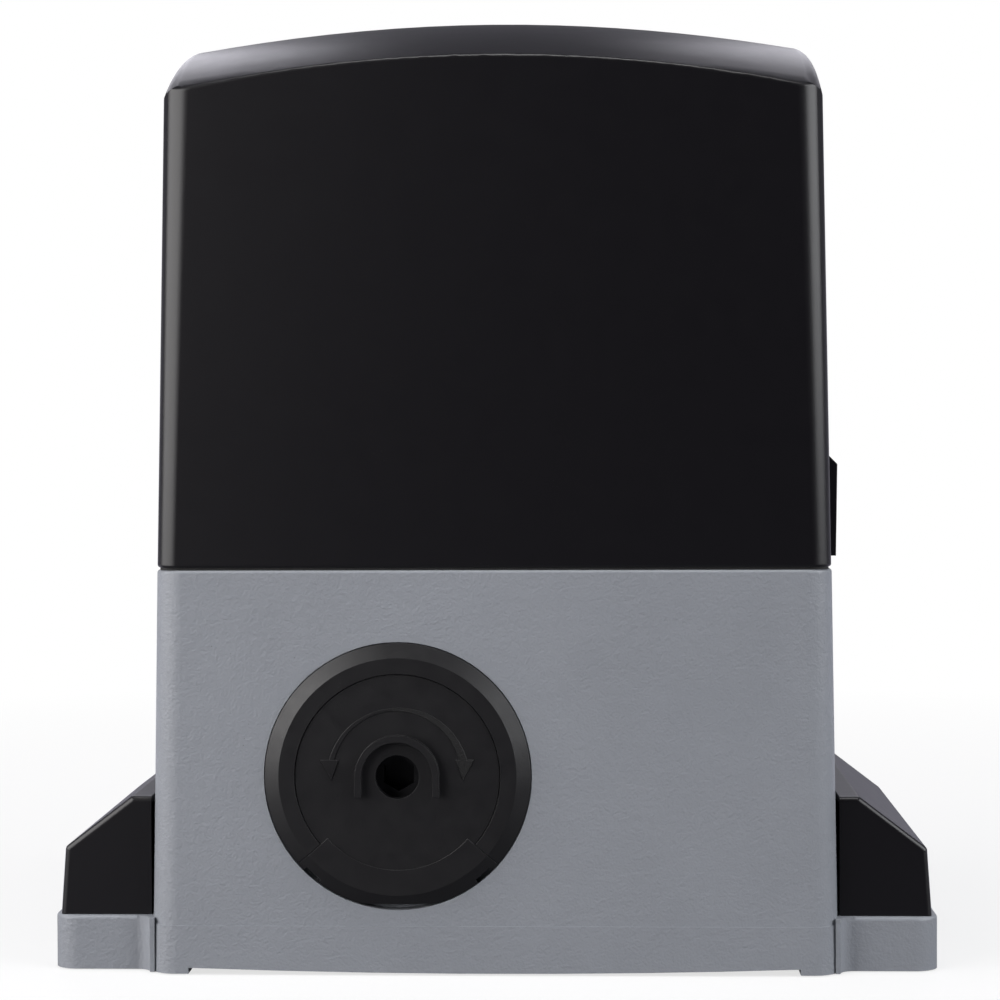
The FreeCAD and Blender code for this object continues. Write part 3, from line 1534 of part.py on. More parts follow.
def make_feeler_lever():
    low = snout_bottom + snout_plate + feeler_end_gap
    high = snout_bottom + snout_height - snout_plate - feeler_end_gap
    hub = rod(feeler_hub_radius, V(output_x, feeler_y, low), high - low)
    pin = rod(feeler_pin_radius, V(output_x, feeler_y, snout_bottom + feeler_end_gap),
              snout_height - 2 * feeler_end_gap)
    stub = rod(feeler_stub_radius, V(output_x, feeler_y, (low + high) / 2), feeler_stub_length, Y_AXIS)
    return one_solid(hub.fuse([pin, stub]))


def make_feeler_spring():
    middle = snout_bottom + snout_height / 2
    start = V(output_x, feeler_y + feeler_spring_start, middle)
    tube = rod(feeler_spring_radius, start, feeler_spring_length, Y_AXIS)
    depth = feeler_stub_length - feeler_spring_start + 1
    hole = rod(feeler_stub_radius + running_clearance, start - Y_AXIS, depth + 1, Y_AXIS)
    return one_solid(tube.cut(hole))


def make_cable_grommet():
    at = V(bay_middle_x, cable_bay_hole_y, floor_bottom)
    neck = rod(cable_bay_hole_radius, at, floor_thickness)
    lip = rod(cable_bay_hole_radius + grommet_lip, V(bay_middle_x, cable_bay_hole_y, floor_top),
              grommet_lip_height)
    return one_solid(neck.fuse(lip).cut(rod(cable_bay_hole_radius - grommet_wall, at - Z_AXIS, 30)))


PIECES = {
    "housing": make_housing,
    "top_cover": make_top_cover,
    "cover_gasket": make_cover_gasket,
    "cover_screws": make_cover_screws,
    "cover_nuts": make_cover_nuts,
    "left_foot_cover": lambda: make_foot_cover(-1),
    "right_foot_cover": lambda: make_foot_cover(1),
    "release_ring": make_release_ring,
    "release_plate": make_release_plate,
    "release_bush": make_release_bush,
    "spindle_retainer": make_spindle_retainer,
    "release_spindle": make_release_spindle,
    "release_slider": make_release_slider,
    "output_shaft": make_output_shaft,
    "pinion_key": make_pinion_key,
    "drive_pinion": make_drive_pinion,
    "pinion_washer": make_pinion_washer,
    "pinion_bolt": make_pinion_bolt,
    "worm_wheel": make_worm_wheel,
    "clutch_sleeve": make_clutch_sleeve,
    "clutch_pin": make_clutch_pin,
    "push_rod": make_push_rod,
    "clutch_spring": make_clutch_spring,
    "shaft_spacer": make_shaft_spacer,
    "front_bearing": make_front_bearing,
    "rear_bearing": make_rear_bearing,
    "rear_flange": make_rear_flange,
    "shaft_seal": make_shaft_seal,
    "rear_flange_screws": make_rear_flange_screws,
    "gearcase_gasket": make_gearcase_gasket,
    "gearcase_lid": make_gearcase_lid,
    "lid_screws": make_lid_screws,
    "motor_base": make_motor_base,
    "stator_stack": make_stator_stack,
    "stator_windings": make_stator_windings,
    "motor_end_bell": make_motor_end_bell,
    "motor_bolts": make_motor_bolts,
    "lower_motor_bearing": lambda: motor_bearing(lower_bearing_z, lower_bearing_outer,
                                                 motor_journal_radius, lower_bearing_width),
    "middle_motor_bearing": lambda: motor_bearing(middle_bearing_z, middle_bearing_outer,
                                                  motor_shaft_radius, middle_bearing_width),
    "upper_motor_bearing": lambda: motor_bearing(upper_bearing_z, upper_bearing_outer,
                                                 motor_journal_radius, upper_bearing_width),
    "motor_shaft": make_motor_shaft,
    "rotor": make_rotor,
    "capacitor": make_capacitor,
    "capacitor_clamp": make_capacitor_clamp,
    "board_bracket": make_board_bracket,
    "bracket_screws": make_bracket_screws,
    "board_spacers": make_board_spacers,
    "control_board": make_control_board,
    "terminal_blocks": make_terminal_blocks,
    "relays": make_relays,
    "transformer_core": make_transformer_core,
    "transformer_coil": make_transformer_coil,
    "limit_switch": make_limit_switch,
    "feeler_lever": make_feeler_lever,
    "feeler_spring": make_feeler_spring,
    "cable_grommet": make_cable_grommet,
}

os.makedirs("parts", exist_ok=True)
for node, make in PIECES.items():
    make().exportStep("parts/" + node + ".step")
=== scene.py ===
import bpy
import json
import math
from mathutils import Matrix, Vector

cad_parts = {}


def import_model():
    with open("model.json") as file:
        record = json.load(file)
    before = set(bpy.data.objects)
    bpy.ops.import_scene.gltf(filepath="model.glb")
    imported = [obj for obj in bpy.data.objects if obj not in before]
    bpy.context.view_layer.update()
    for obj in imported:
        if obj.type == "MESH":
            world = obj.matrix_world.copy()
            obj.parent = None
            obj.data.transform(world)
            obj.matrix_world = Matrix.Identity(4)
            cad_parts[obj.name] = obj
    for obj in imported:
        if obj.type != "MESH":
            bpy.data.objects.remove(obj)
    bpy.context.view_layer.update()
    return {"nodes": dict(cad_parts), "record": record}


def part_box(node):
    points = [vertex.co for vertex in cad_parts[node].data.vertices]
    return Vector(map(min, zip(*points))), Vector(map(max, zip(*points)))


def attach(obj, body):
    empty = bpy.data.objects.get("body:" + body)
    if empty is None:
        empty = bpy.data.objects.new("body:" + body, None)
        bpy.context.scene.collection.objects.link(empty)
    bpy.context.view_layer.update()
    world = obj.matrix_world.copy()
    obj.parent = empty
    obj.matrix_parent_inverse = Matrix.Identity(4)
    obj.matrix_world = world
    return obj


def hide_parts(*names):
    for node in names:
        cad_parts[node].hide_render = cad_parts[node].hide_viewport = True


# Looks of the sliding gate motor: materials, small detail, light and camera.
# Metres. +Z up, the front faces -Y.

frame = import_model()


MM = 0.001


# ------------------------------------------------------------------ materials
class Nodes:
    """A node tree with helpers that add nodes and link or fill their sockets."""

    def __init__(self, tree):
        self.tree = tree

    def add(self, kind, **inputs):
        node = self.tree.nodes.new(kind)
        for key, value in inputs.items():
            self.put(node.inputs[key.replace("_", " ")], value)
        return node

    def put(self, socket, value):
        if isinstance(value, bpy.types.NodeSocket):
            self.tree.links.new(value, socket)
        else:
            socket.default_value = value

    def ramp(self, value, low, high, start=0.0, end=1.0):
        """Maps low..high to start..end, held at both ends."""
        node = self.add("ShaderNodeMapRange", From_Min=low, From_Max=high, To_Min=start, To_Max=end)
        self.put(node.inputs["Value"], value)
        return node.outputs["Result"]

    def math(self, kind, *values):
        node = self.add("ShaderNodeMath")
        node.operation = kind
        for socket, value in zip(node.inputs, values):
            self.put(socket, value)
        return node.outputs["Value"]

    def mix_shaders(self, amount, first, second):
        node = self.add("ShaderNodeMixShader", Fac=amount)
        self.put(node.inputs[1], first)
        self.put(node.inputs[2], second)
        return node.outputs["Shader"]


class Builder(Nodes):
    """A principled material with helpers for the texture nodes behind it."""

    def __init__(self, name):
        self.material = bpy.data.materials.new(name)
        self.material.use_nodes = True
        super().__init__(self.material.node_tree)
        self.shader = self.tree.nodes["Principled BSDF"]
        self.place = self.add("ShaderNodeTexCoord").outputs["Object"]
        self.height = None      # normal output of the last bump, which the next one builds on

    def stretched(self, scale):
        node = self.add("ShaderNodeMapping", Vector=self.place)
        node.inputs["Scale"].default_value = scale
        return node.outputs["Vector"]

    def noise(self, scale, detail=3.0, rough=0.55, vector=None):
        node = self.add("ShaderNodeTexNoise", Scale=scale, Detail=detail, Roughness=rough)
        self.put(node.inputs["Vector"], vector or self.place)
        return node.outputs["Fac"]

    def cells(self, scale, randomness=1.0):
        node = self.add("ShaderNodeTexVoronoi", Scale=scale, Randomness=randomness)
        self.put(node.inputs["Vector"], self.place)
        return node.outputs["Distance"]

    def mix(self, amount, first, second):
        node = self.add("ShaderNodeMix")
        node.data_type = "RGBA"
        self.put(node.inputs["Factor"], amount)
        for socket, colour in ((node.inputs[6], first), (node.inputs[7], second)):
            self.put(socket, (*colour, 1.0) if isinstance(colour, tuple) else colour)
        return node.outputs[2]

    def bump(self, height, distance, strength=1.0):
        node = self.add("ShaderNodeBump", Strength=strength, Distance=distance)
        self.put(node.inputs["Height"], height)
        if self.height is not None:
            self.put(node.inputs["Normal"], self.height)
        self.height = node.outputs["Normal"]

    def finish(self, colour, rough, metal=0.0, **more):
        self.put(self.shader.inputs["Base Color"], colour)
        self.put(self.shader.inputs["Roughness"], rough)
        self.shader.inputs["Metallic"].default_value = metal
        for key, value in more.items():
            self.put(self.shader.inputs[key.replace("_", " ")], value)
        self.put(self.shader.inputs["Normal"], self.height)
        return self.material


def shade(colour, factor):
    return tuple(min(1.0, c * factor) for c in colour)


def powder_coat(name, colour):
    """Orange-peel powder coat over a die casting, with faint wear and specks."""
    b = Builder(name)
    peel = b.noise(1150.0, 2.0, 0.5)
    coarse = b.noise(420.0, 2.0, 0.5)
    height = b.math("ADD", b.math("MULTIPLY", peel, 0.6), b.math("MULTIPLY", coarse, 0.6))
    b.bump(height, 0.00034, 0.8)
    patches = b.ramp(b.noise(16.0, 4.0), 0.35, 0.7)
    specks = b.ramp(b.cells(420.0), 0.05, 0.09, 1.0, 0.0)
    sparse = b.ramp(b.noise(55.0, 2.0), 0.62, 0.68)
    specks = b.math("MULTIPLY", specks, sparse)
    base = b.mix(patches, shade(colour, 0.965), shade(colour, 1.03))
    base = b.mix(specks, base, shade(colour, 0.45))
    rough = b.ramp(b.noise(90.0, 3.0), 0.3, 0.7, 0.40, 0.52)
    return b.finish(base, rough)


def moulded(name, colour, rough, grain=0.00006, dust=0.25, smudge=0.5, ripple=0.12, uneven=0.04, edge=0.0):
    """Moulded plastic: fine grain, hand smudges that change the gloss, specks of dust, softened edges."""
    b = Builder(name)
    if edge:
        soften = b.add("ShaderNodeBevel", Radius=edge)
        soften.samples = 4
        b.height = soften.outputs["Normal"]
    b.bump(b.noise(1500.0, 2.0, 0.6), grain, 0.6)
    if ripple:
        b.bump(b.noise(26.0, 2.0, 0.4), 0.0003, ripple)
    marks = b.ramp(b.noise(11.0, 5.0, 0.6), 0.45, 0.72)
    streaks = b.ramp(b.noise(30.0, 3.0, 0.6, b.stretched((1.0, 1.0, 0.22))), 0.5, 0.8)
    marks = b.math("MULTIPLY", b.math("ADD", marks, streaks), smudge)
    dots = b.ramp(b.cells(520.0), 0.035, 0.075, 1.0, 0.0)
    sparse = b.ramp(b.noise(70.0, 3.0), 0.6, 0.66)
    dots = b.math("MULTIPLY", b.math("MULTIPLY", dots, sparse), dust)
    base = b.mix(b.math("MULTIPLY", marks, 0.25), colour, shade(colour, 1.7))
    base = b.mix(dots, base, (0.16, 0.15, 0.15))
    gloss = b.math("ADD", b.ramp(b.noise(160.0, 3.0), 0.3, 0.7, rough - uneven, rough + uneven),
                   b.math("MULTIPLY", marks, -0.06))
    return b.finish(base, gloss)


def cast_metal(name, colour):
    """Bare die casting, stained in places."""
    b = Builder(name)
    b.bump(b.noise(900.0, 3.0, 0.6), 0.00012, 0.8)
    b.bump(b.noise(120.0, 3.0, 0.6), 0.0004, 0.4)
    stains = b.ramp(b.noise(35.0, 4.0), 0.4, 0.7)
    base = b.mix(stains, colour, shade(colour, 0.72))
    return b.finish(base, b.ramp(b.noise(200.0, 3.0), 0.3, 0.7, 0.38, 0.55), 1.0)


def turned_metal(name, colour, rough, axis, lines=900.0):
    """Metal with fine tool marks round the given axis."""
    b = Builder(name)
    scale = [6.0, 6.0, 6.0]
    scale["XYZ".index(axis)] = lines
    marks = b.noise(1.0, 2.0, 0.6, b.stretched(tuple(scale)))
    b.bump(marks, 0.00003, 0.6)
    film = b.ramp(b.noise(45.0, 4.0), 0.4, 0.7)
    base = b.mix(film, colour, shade(colour, 0.7))
    return b.finish(base, b.ramp(marks, 0.3, 0.7, rough - 0.06, rough + 0.1), 1.0)


def zinc_plate(name):
    """Zinc plating with faint yellow clouds."""
    b = Builder(name)
    b.bump(b.noise(700.0, 2.0), 0.00003, 0.6)
    clouds = b.ramp(b.noise(90.0, 3.0), 0.35, 0.7)
    base = b.mix(clouds, (0.62, 0.63, 0.66), (0.66, 0.62, 0.50))
    return b.finish(base, b.ramp(b.noise(240.0, 3.0), 0.3, 0.7, 0.25, 0.42), 1.0)


def laminations(name):
    """Stacked steel sheets under dark varnish."""
    b = Builder(name)
    wave = b.add("ShaderNodeTexWave", Scale=1.0, Distortion=0.0)
    wave.wave_type = "BANDS"
    wave.bands_direction = "Z"
    b.put(wave.inputs["Vector"], b.stretched((320.0, 320.0, 320.0)))
    b.bump(wave.outputs["Fac"], 0.00012, 0.8)
    stains = b.ramp(b.noise(60.0, 4.0), 0.4, 0.7)
    base = b.mix(stains, (0.13, 0.13, 0.14), (0.20, 0.17, 0.14))
    return b.finish(base, b.ramp(b.noise(300.0, 2.0), 0.3, 0.7, 0.35, 0.55), 0.85)


def windings(name):
    """Varnished copper wire laid side by side, with painted shade in the grooves between the turns."""
    b = Builder(name)
    wave = b.add("ShaderNodeTexWave", Scale=1.0, Distortion=1.2, Detail=2.0)
    wave.wave_type = "BANDS"
    wave.bands_direction = "Z"
    b.put(wave.inputs["Vector"], b.stretched((260.0, 260.0, 260.0)))
    b.bump(wave.outputs["Fac"], 0.0004, 0.9)
    # Painted shade: the grooves between the turns are coloured dark brown where the bump is lowest.
    gap_shade = b.ramp(wave.outputs["Fac"], 0.0, 0.6)
    base = b.mix(gap_shade, (0.16, 0.05, 0.02), (0.62, 0.26, 0.10))
    return b.finish(base, b.ramp(b.noise(200.0, 2.0), 0.3, 0.7, 0.22, 0.38), 0.8, Coat_Weight=0.3)


def board_face(name):
    """Solder-masked circuit board with the tracks showing through."""
    b = Builder(name)
    brick = b.add("ShaderNodeTexBrick", Scale=1.0, Mortar_Size=0.02)
    b.put(brick.inputs["Vector"], b.stretched((170.0, 170.0, 170.0)))
    tracks = b.ramp(b.cells(130.0, randomness=0.6), 0.28, 0.34)
    b.bump(tracks, 0.00006, 0.6)
    base = b.mix(tracks, (0.008, 0.10, 0.045), (0.015, 0.17, 0.07))
    base = b.mix(b.math("MULTIPLY", brick.outputs["Fac"], 0.25), base, (0.006, 0.06, 0.03))
    return b.finish(base, b.ramp(b.noise(90.0, 3.0), 0.3, 0.7, 0.24, 0.36))


MATERIALS = {
    "grey_casting": powder_coat("grey_casting", (0.262, 0.277, 0.305)),
    "black_cover_plastic": moulded("black_cover_plastic", (0.0026, 0.0021, 0.0036), 0.33, grain=0.00002,
                                   dust=0.30, smudge=0.05, ripple=0.0, uneven=0.008, edge=0.3 * MM),
    "black_release_plastic": moulded("black_release_plastic", (0.0040, 0.0037, 0.0048), 0.44,
                                     dust=0.45, smudge=0.2, edge=0.25 * MM),
    "black_switch_plastic": moulded("black_switch_plastic", (0.012, 0.012, 0.013), 0.42),
    "black_rubber": moulded("black_rubber", (0.012, 0.012, 0.012), 0.72, grain=0.0001, dust=0.6),
    "bronze": turned_metal("bronze", (0.60, 0.40, 0.18), 0.32, "Y", 500.0),
    "cast_aluminium": cast_metal("cast_aluminium", (0.60, 0.61, 0.62)),
    "machined_steel": turned_metal("machined_steel", (0.52, 0.52, 0.53), 0.28, "Y"),
    "blackened_steel": turned_metal("blackened_steel", (0.035, 0.035, 0.038), 0.42, "Y"),
    "gear_steel": turned_metal("gear_steel", (0.36, 0.36, 0.37), 0.34, "Y", 600.0),
    "bearing_steel": turned_metal("bearing_steel", (0.58, 0.58, 0.60), 0.22, "Y"),
    "spring_steel": turned_metal("spring_steel", (0.36, 0.36, 0.38), 0.30, "Y"),
    "zinc_plated_steel": zinc_plate("zinc_plated_steel"),
    "lamination_steel": laminations("lamination_steel"),
    "copper_winding": windings("copper_winding"),
    "capacitor_case": moulded("capacitor_case", (0.62, 0.63, 0.63), 0.30, dust=0.1),
    "grey_nylon": moulded("grey_nylon", (0.24, 0.25, 0.26), 0.45, dust=0.1),
    "circuit_board": board_face("circuit_board"),
    "green_terminal_plastic": moulded("green_terminal_plastic", (0.02, 0.20, 0.07), 0.38, dust=0.1),
}
TIN = turned_metal("tinned_metal", (0.66, 0.66, 0.66), 0.26, "X")
# Darker and rougher than the release plate. The rough finish belongs to the marking; the darker colour is
# painted shade of its engraved recess, which is built raised here.
MATT_BLACK_RECESS_SHADE = moulded("matt_black_recess_shade_plastic", (0.0016, 0.0015, 0.0020), 0.62, grain=0.0002, dust=0.1)
DARK = moulded("component_black", (0.010, 0.010, 0.011), 0.40, dust=0.1)
SLEEVE = moulded("component_sleeve", (0.016, 0.030, 0.085), 0.30, dust=0.1)


def dress(obj, material):
    obj.data.materials.clear()
    obj.data.materials.append(material)


for part in frame["record"]["subparts"]:
    dress(frame["nodes"][part["node"]], MATERIALS[part["material_slot"]])


# ------------------------------------------------------------------ mesh helpers
def mesh_object(name, vertices, faces, material, smooth=None):
    """Mesh as an object; with smooth, edges that turn by less than so many degrees are shaded smooth."""
    mesh = bpy.data.meshes.new(name)
    mesh.from_pydata([tuple(v) for v in vertices], [], faces)
    mesh.validate()
    mesh.update()
    obj = bpy.data.objects.new(name, mesh)
    bpy.context.scene.collection.objects.link(obj)
    dress(obj, material)
    if smooth is not None:
        for polygon in mesh.polygons:
            polygon.use_smooth = True
        mesh.set_sharp_from_angle(angle=math.radians(smooth))
    return obj


def turned(name, profile, origin, axis, material, steps):
    """Closed solid of revolution from (radius, along) points, with a flat cap at each end."""
    vertices, faces = [], []
    turn = Vector((0, 0, 1)).rotation_difference(Vector(axis)).to_matrix()
    for radius, along in profile:
        for n in range(steps):
            angle = 2 * math.pi * n / steps
            point = Vector((radius * math.cos(angle), radius * math.sin(angle), along))
            vertices.append(Vector(origin) + turn @ point)
    rows = len(profile)
    for row in range(rows - 1):
        for n in range(steps):
            m = (n + 1) % steps
            faces.append((row * steps + n, row * steps + m, (row + 1) * steps + m, (row + 1) * steps + n))
    faces.append(tuple(range(steps))[::-1])
    faces.append(tuple((rows - 1) * steps + n for n in range(steps)))
    return mesh_object(name, vertices, faces, material, 35)


def tube_along(name, points, radius, material, sides):
    """Round wire through the points, with closed ends."""
    curve = bpy.data.curves.new(name, "CURVE")
    curve.dimensions = "3D"
    curve.bevel_depth = radius
    curve.bevel_resolution = max(1, sides // 4 - 1)
    curve.use_fill_caps = True
    spline = curve.splines.new("POLY")
    spline.points.add(len(points) - 1)
    for point, place in zip(spline.points, points):
        point.co = (*place, 1.0)
    raw = bpy.data.objects.new(name + "_line", curve)
    bpy.context.scene.collection.objects.link(raw)
    graph = bpy.context.evaluated_depsgraph_get()
    mesh = bpy.data.meshes.new_from_object(raw.evaluated_get(graph))
    bpy.data.objects.remove(raw)
    obj = bpy.data.objects.new(name, mesh)
    bpy.context.scene.collection.objects.link(obj)
    for polygon in mesh.polygons:
        polygon.use_smooth = True
    dress(obj, material)
    return obj


def soft_box(name, low, high, material):
    """Box with small rounded edges."""
    x0, y0, z0 = low
    x1, y1, z1 = high
    vertices = [(x, y, z) for z in (z0, z1) for x, y in ((x0, y0), (x1, y0), (x1, y1), (x0, y1))]
    faces = [(3, 2, 1, 0), (4, 5, 6, 7), (0, 1, 5, 4), (1, 2, 6, 5), (2, 3, 7, 6), (3, 0, 4, 7)]
    obj = mesh_object(name, vertices, faces, material)
    edge = obj.modifiers.new("edge", "BEVEL")
    edge.width = 0.3 * MM
    edge.segments = 2
    return obj


# ------------------------------------------------------------------ top cover: fuller sides, soft shoulders
cover_low, cover_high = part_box("top_cover")
COVER_WALL_X = 112.21 * MM          # half width and half depth at the lower rim
COVER_FACE_Y = 83.41 * MM
COVER_LEAN = math.tan(math.radians(1.7))    # of the solid's walls
FULLER_LEAN = math.tan(math.radians(0.9))   # of the side walls in the photo
CORNER_RADIUS = 7.0 * MM
SHOULDER_RADIUS = 8.0 * MM
CREST_DROP_SIDES = 10.0 * MM        # how far the top falls from the middle to the sides
CREST_DROP_FRONT = 19.1 * MM        # and to the front and the rear
ARC_STEPS = 12
CUTTER_STATIONS = 33
CUTTER_OVERRUN = 4.0 * MM


def wall_x(z, lean):
    """Half width of the cover at a height, for walls that lean in by the given share."""
    return COVER_WALL_X - (z - cover_low.z) * lean


def crest_z(x, y):
    """Height of the cover's doubly curved top."""
    edge_z = cover_high.z - CREST_DROP_FRONT
    half_w = wall_x(edge_z, COVER_LEAN)
    half_d = COVER_FACE_Y - (edge_z - cover_low.z) * COVER_LEAN
    across = (half_w ** 2 + CREST_DROP_SIDES ** 2) / (2 * CREST_DROP_SIDES)
    along = (half_d ** 2 + CREST_DROP_FRONT ** 2) / (2 * CREST_DROP_FRONT)
    axis_z = cover_high.z - along
    from_axis = cover_high.z - across + math.sqrt(across ** 2 - x ** 2) - axis_z
    return axis_z + math.sqrt(from_axis ** 2 - y ** 2)


def fuller(point):
    """Moves a point of the side walls out, so that they lean less; the front and rear faces stay."""
    x, y, z = point
    behind = COVER_FACE_Y - (z - cover_low.z) * COVER_LEAN - abs(y)
    corner = min(1.0, max(0.0, (CORNER_RADIUS - behind) / CORNER_RADIUS))
    share = math.sqrt(1 - corner ** 2) * min(1.0, abs(x) / wall_x(z, COVER_LEAN)) ** 3
    out = (z - cover_low.z) * (COVER_LEAN - FULLER_LEAN) * share
    return (x + math.copysign(out, x), y, z)


def shoulder_section(side, y):
    """What the rounding takes off the edge between side wall and crest, as points in X and Z."""
    z = cover_high.z - CREST_DROP_SIDES
    for _ in range(6):      # closes in on the height where wall and crest meet
        z = crest_z(wall_x(z, COVER_LEAN), y)
    edge = Vector((wall_x(z, FULLER_LEAN), z))
    x = wall_x(z, COVER_LEAN)
    down = Vector((FULLER_LEAN, -1.0)).normalized()
    inward = Vector((-MM, crest_z(x - MM, y) - crest_z(x, y))).normalized()
    half = down.angle(inward) / 2
    middle = edge + (down + inward).normalized() * SHOULDER_RADIUS / math.sin(half)
    first = (edge + down * SHOULDER_RADIUS / math.tan(half) - middle).normalized()
    last = (edge + inward * SHOULDER_RADIUS / math.tan(half) - middle).normalized()
    arc = [middle + first.slerp(last, n / ARC_STEPS) * SHOULDER_RADIUS for n in range(ARC_STEPS + 1)]
    beyond = edge + Vector((SHOULDER_RADIUS, SHOULDER_RADIUS))
    points = arc + [Vector((arc[-1].x, beyond.y)), beyond, Vector((beyond.x, arc[0].y))]
    return [(side * point.x, y, point.y) for point in points]


def shoulder_cutter(side):
    """Solid that runs from front to rear along one shoulder, with shoulder_section as its profile."""
    reach = COVER_FACE_Y + CUTTER_OVERRUN
    last = CUTTER_STATIONS - 1
    vertices, faces = [], []
    for n in range(CUTTER_STATIONS):
        vertices += shoulder_section(side, -reach + 2 * reach * n / last)
    count = len(vertices) // CUTTER_STATIONS
    for n in range(last):
        for k in range(count):
            m = (k + 1) % count
            faces.append((n * count + k, n * count + m, (n + 1) * count + m, (n + 1) * count + k))
    faces.append(tuple(range(count))[::-1])
    faces.append(tuple(last * count + k for k in range(count)))
    if side < 0:
        faces = [face[::-1] for face in faces]
    return mesh_object("shoulder_cutter", vertices, faces, MATERIALS["black_cover_plastic"])


def make_cover_shell():
    """Copy of the cover's solid with fuller side walls and with the two shoulders rounded off."""
    source = frame["nodes"]["top_cover"]
    place = source.matrix_world.copy()
    mesh = source.data.copy()
    mesh.name = "cover_shell"
    for vertex in mesh.vertices:
        vertex.co = place.inverted() @ Vector(fuller(place @ vertex.co))
    if "custom_normal" in mesh.attributes:
        mesh.attributes.remove(mesh.attributes["custom_normal"])
    rough = bpy.data.objects.new("cover_rough", mesh)
    rough.matrix_world = place
    bpy.context.scene.collection.objects.link(rough)
    cutters = [shoulder_cutter(-1), shoulder_cutter(1)]
    for cutter in cutters:
        cut = rough.modifiers.new("shoulder", "BOOLEAN")
        cut.operation = "DIFFERENCE"
        cut.solver = "EXACT"
        cut.object = cutter
    graph = bpy.context.evaluated_depsgraph_get()
    shell_mesh = bpy.data.meshes.new_from_object(rough.evaluated_get(graph))
    for spare in cutters + [rough]:
        bpy.data.objects.remove(spare)
    shell = bpy.data.objects.new("cover_shell", shell_mesh)
    shell.matrix_world = place
    bpy.context.scene.collection.objects.link(shell)
    dress(shell, MATERIALS["black_cover_plastic"])
    for polygon in shell_mesh.polygons:
        polygon.use_smooth = True
    shell_mesh.set_sharp_from_angle(angle=math.radians(32))
    even = shell.modifiers.new("even", "WEIGHTED_NORMAL")
    even.keep_sharp = True
    return shell


cover_shell = make_cover_shell()
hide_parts("top_cover")
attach(cover_shell, "cover")

# ------------------------------------------------------------------ release plate: turning arrow
shaft_low, shaft_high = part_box("output_shaft")
OUT_X = (shaft_low.x + shaft_high.x) / 2
OUT_Z = (shaft_low.z + shaft_high.z) / 2
PLATE_SET_BACK = 0.5 * MM           # of the plate's flat face, behind the front of the ring
PLATE_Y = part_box("release_ring")[0].y + PLATE_SET_BACK
ARROW_RADIUS = 22.4 * MM
ARROW_HALF_DEG = 78.0
ARROW_GAP_DEG = -4.0                # where the left band ends and the right one starts
ARROW_SINK = 0.1 * MM
BAND_STEPS = 40
BAND_THINNEST = 0.45                # share of the full width at the top of the arc
BAND_FLAT = 0.8                     # share of the width that is flat; the rest slopes
HEAD_HALF_WIDTH = 3.3 * MM
HEAD_LENGTH = 7.2 * MM
HEAD_TIP_IN = 0.7 * MM
HEAD_OVERLAP = 1.2 * MM
HEAD_MIDDLE_DOWN = 2.6 * MM
HEAD_SLOPE = 0.1


def plate_point(radius, degrees, rise):
    """A point on the release plate; degrees run clockwise from straight up."""
    a = math.radians(degrees)
    return (OUT_X + radius * math.sin(a), PLATE_Y - rise, OUT_Z + radius * math.cos(a))


def arrow_band(name, start, end, half_width, rise, material):
    """Raised band round the key hole, from one angle to the other, wider towards the arrow heads."""
    vertices, faces = [], []
    for n in range(BAND_STEPS + 1):
        turn = start + (end - start) * n / BAND_STEPS
        half = half_width * (BAND_THINNEST + (1 - BAND_THINNEST) * abs(turn) / ARROW_HALF_DEG)
        flat = half * BAND_FLAT
        for out, lift in ((-half, -ARROW_SINK), (-flat, rise), (flat, rise), (half, -ARROW_SINK)):
            vertices.append(plate_point(ARROW_RADIUS + out, turn, lift))
    for n in range(BAND_STEPS):
        for k in range(4):
            m = (k + 1) % 4
            faces.append((n * 4 + k, n * 4 + m, n * 4 + 4 + m, n * 4 + 4 + k))
    faces.append((0, 3, 2, 1))
    faces.append(tuple(BAND_STEPS * 4 + k for k in range(4)))
    return mesh_object(name, vertices, faces, material, 40)


def arrow_head(name, side, rise, material):
    """Raised triangle at the end of the band, pointing down."""
    across = OUT_X + side * ARROW_RADIUS
    top = OUT_Z + ARROW_RADIUS * math.cos(math.radians(ARROW_HALF_DEG)) + HEAD_OVERLAP
    outline = [(across - HEAD_HALF_WIDTH, top), (across + HEAD_HALF_WIDTH, top),
               (across - side * HEAD_TIP_IN, top - HEAD_LENGTH)]
    middle_z = top - HEAD_MIDDLE_DOWN
    vertices = [(x, PLATE_Y + ARROW_SINK, z) for x, z in outline]
    for x, z in outline:
        vertices.append((x + (across - x) * HEAD_SLOPE, PLATE_Y - rise, z + (middle_z - z) * HEAD_SLOPE))
    faces = [(0, 1, 2), (3, 5, 4), (0, 3, 4, 1), (1, 4, 5, 2), (2, 5, 3, 0)]
    return mesh_object(name, vertices, faces, material)


BLACK_PLASTIC = MATERIALS["black_release_plastic"]
# The right band and head take the matt black, whose darker colour is painted shade of an engraved recess.
for piece in (
    arrow_band("release_arrow_left_band", -ARROW_HALF_DEG, ARROW_GAP_DEG, 1.0 * MM, 0.30 * MM, BLACK_PLASTIC),
    arrow_band("release_arrow_right_band", ARROW_GAP_DEG, ARROW_HALF_DEG, 1.5 * MM, 0.22 * MM, MATT_BLACK_RECESS_SHADE),
    arrow_head("release_arrow_left_head", -1, 0.42 * MM, BLACK_PLASTIC),
    arrow_head("release_arrow_right_head", 1, 0.30 * MM, MATT_BLACK_RECESS_SHADE),
):
    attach(piece, "plate")

# ------------------------------------------------------------------ limit switch feeler: coil spring
COIL_WIRE = 0.55 * MM
COIL_PITCH = 2.02 * COIL_WIRE
COIL_POINTS_A_TURN = 20


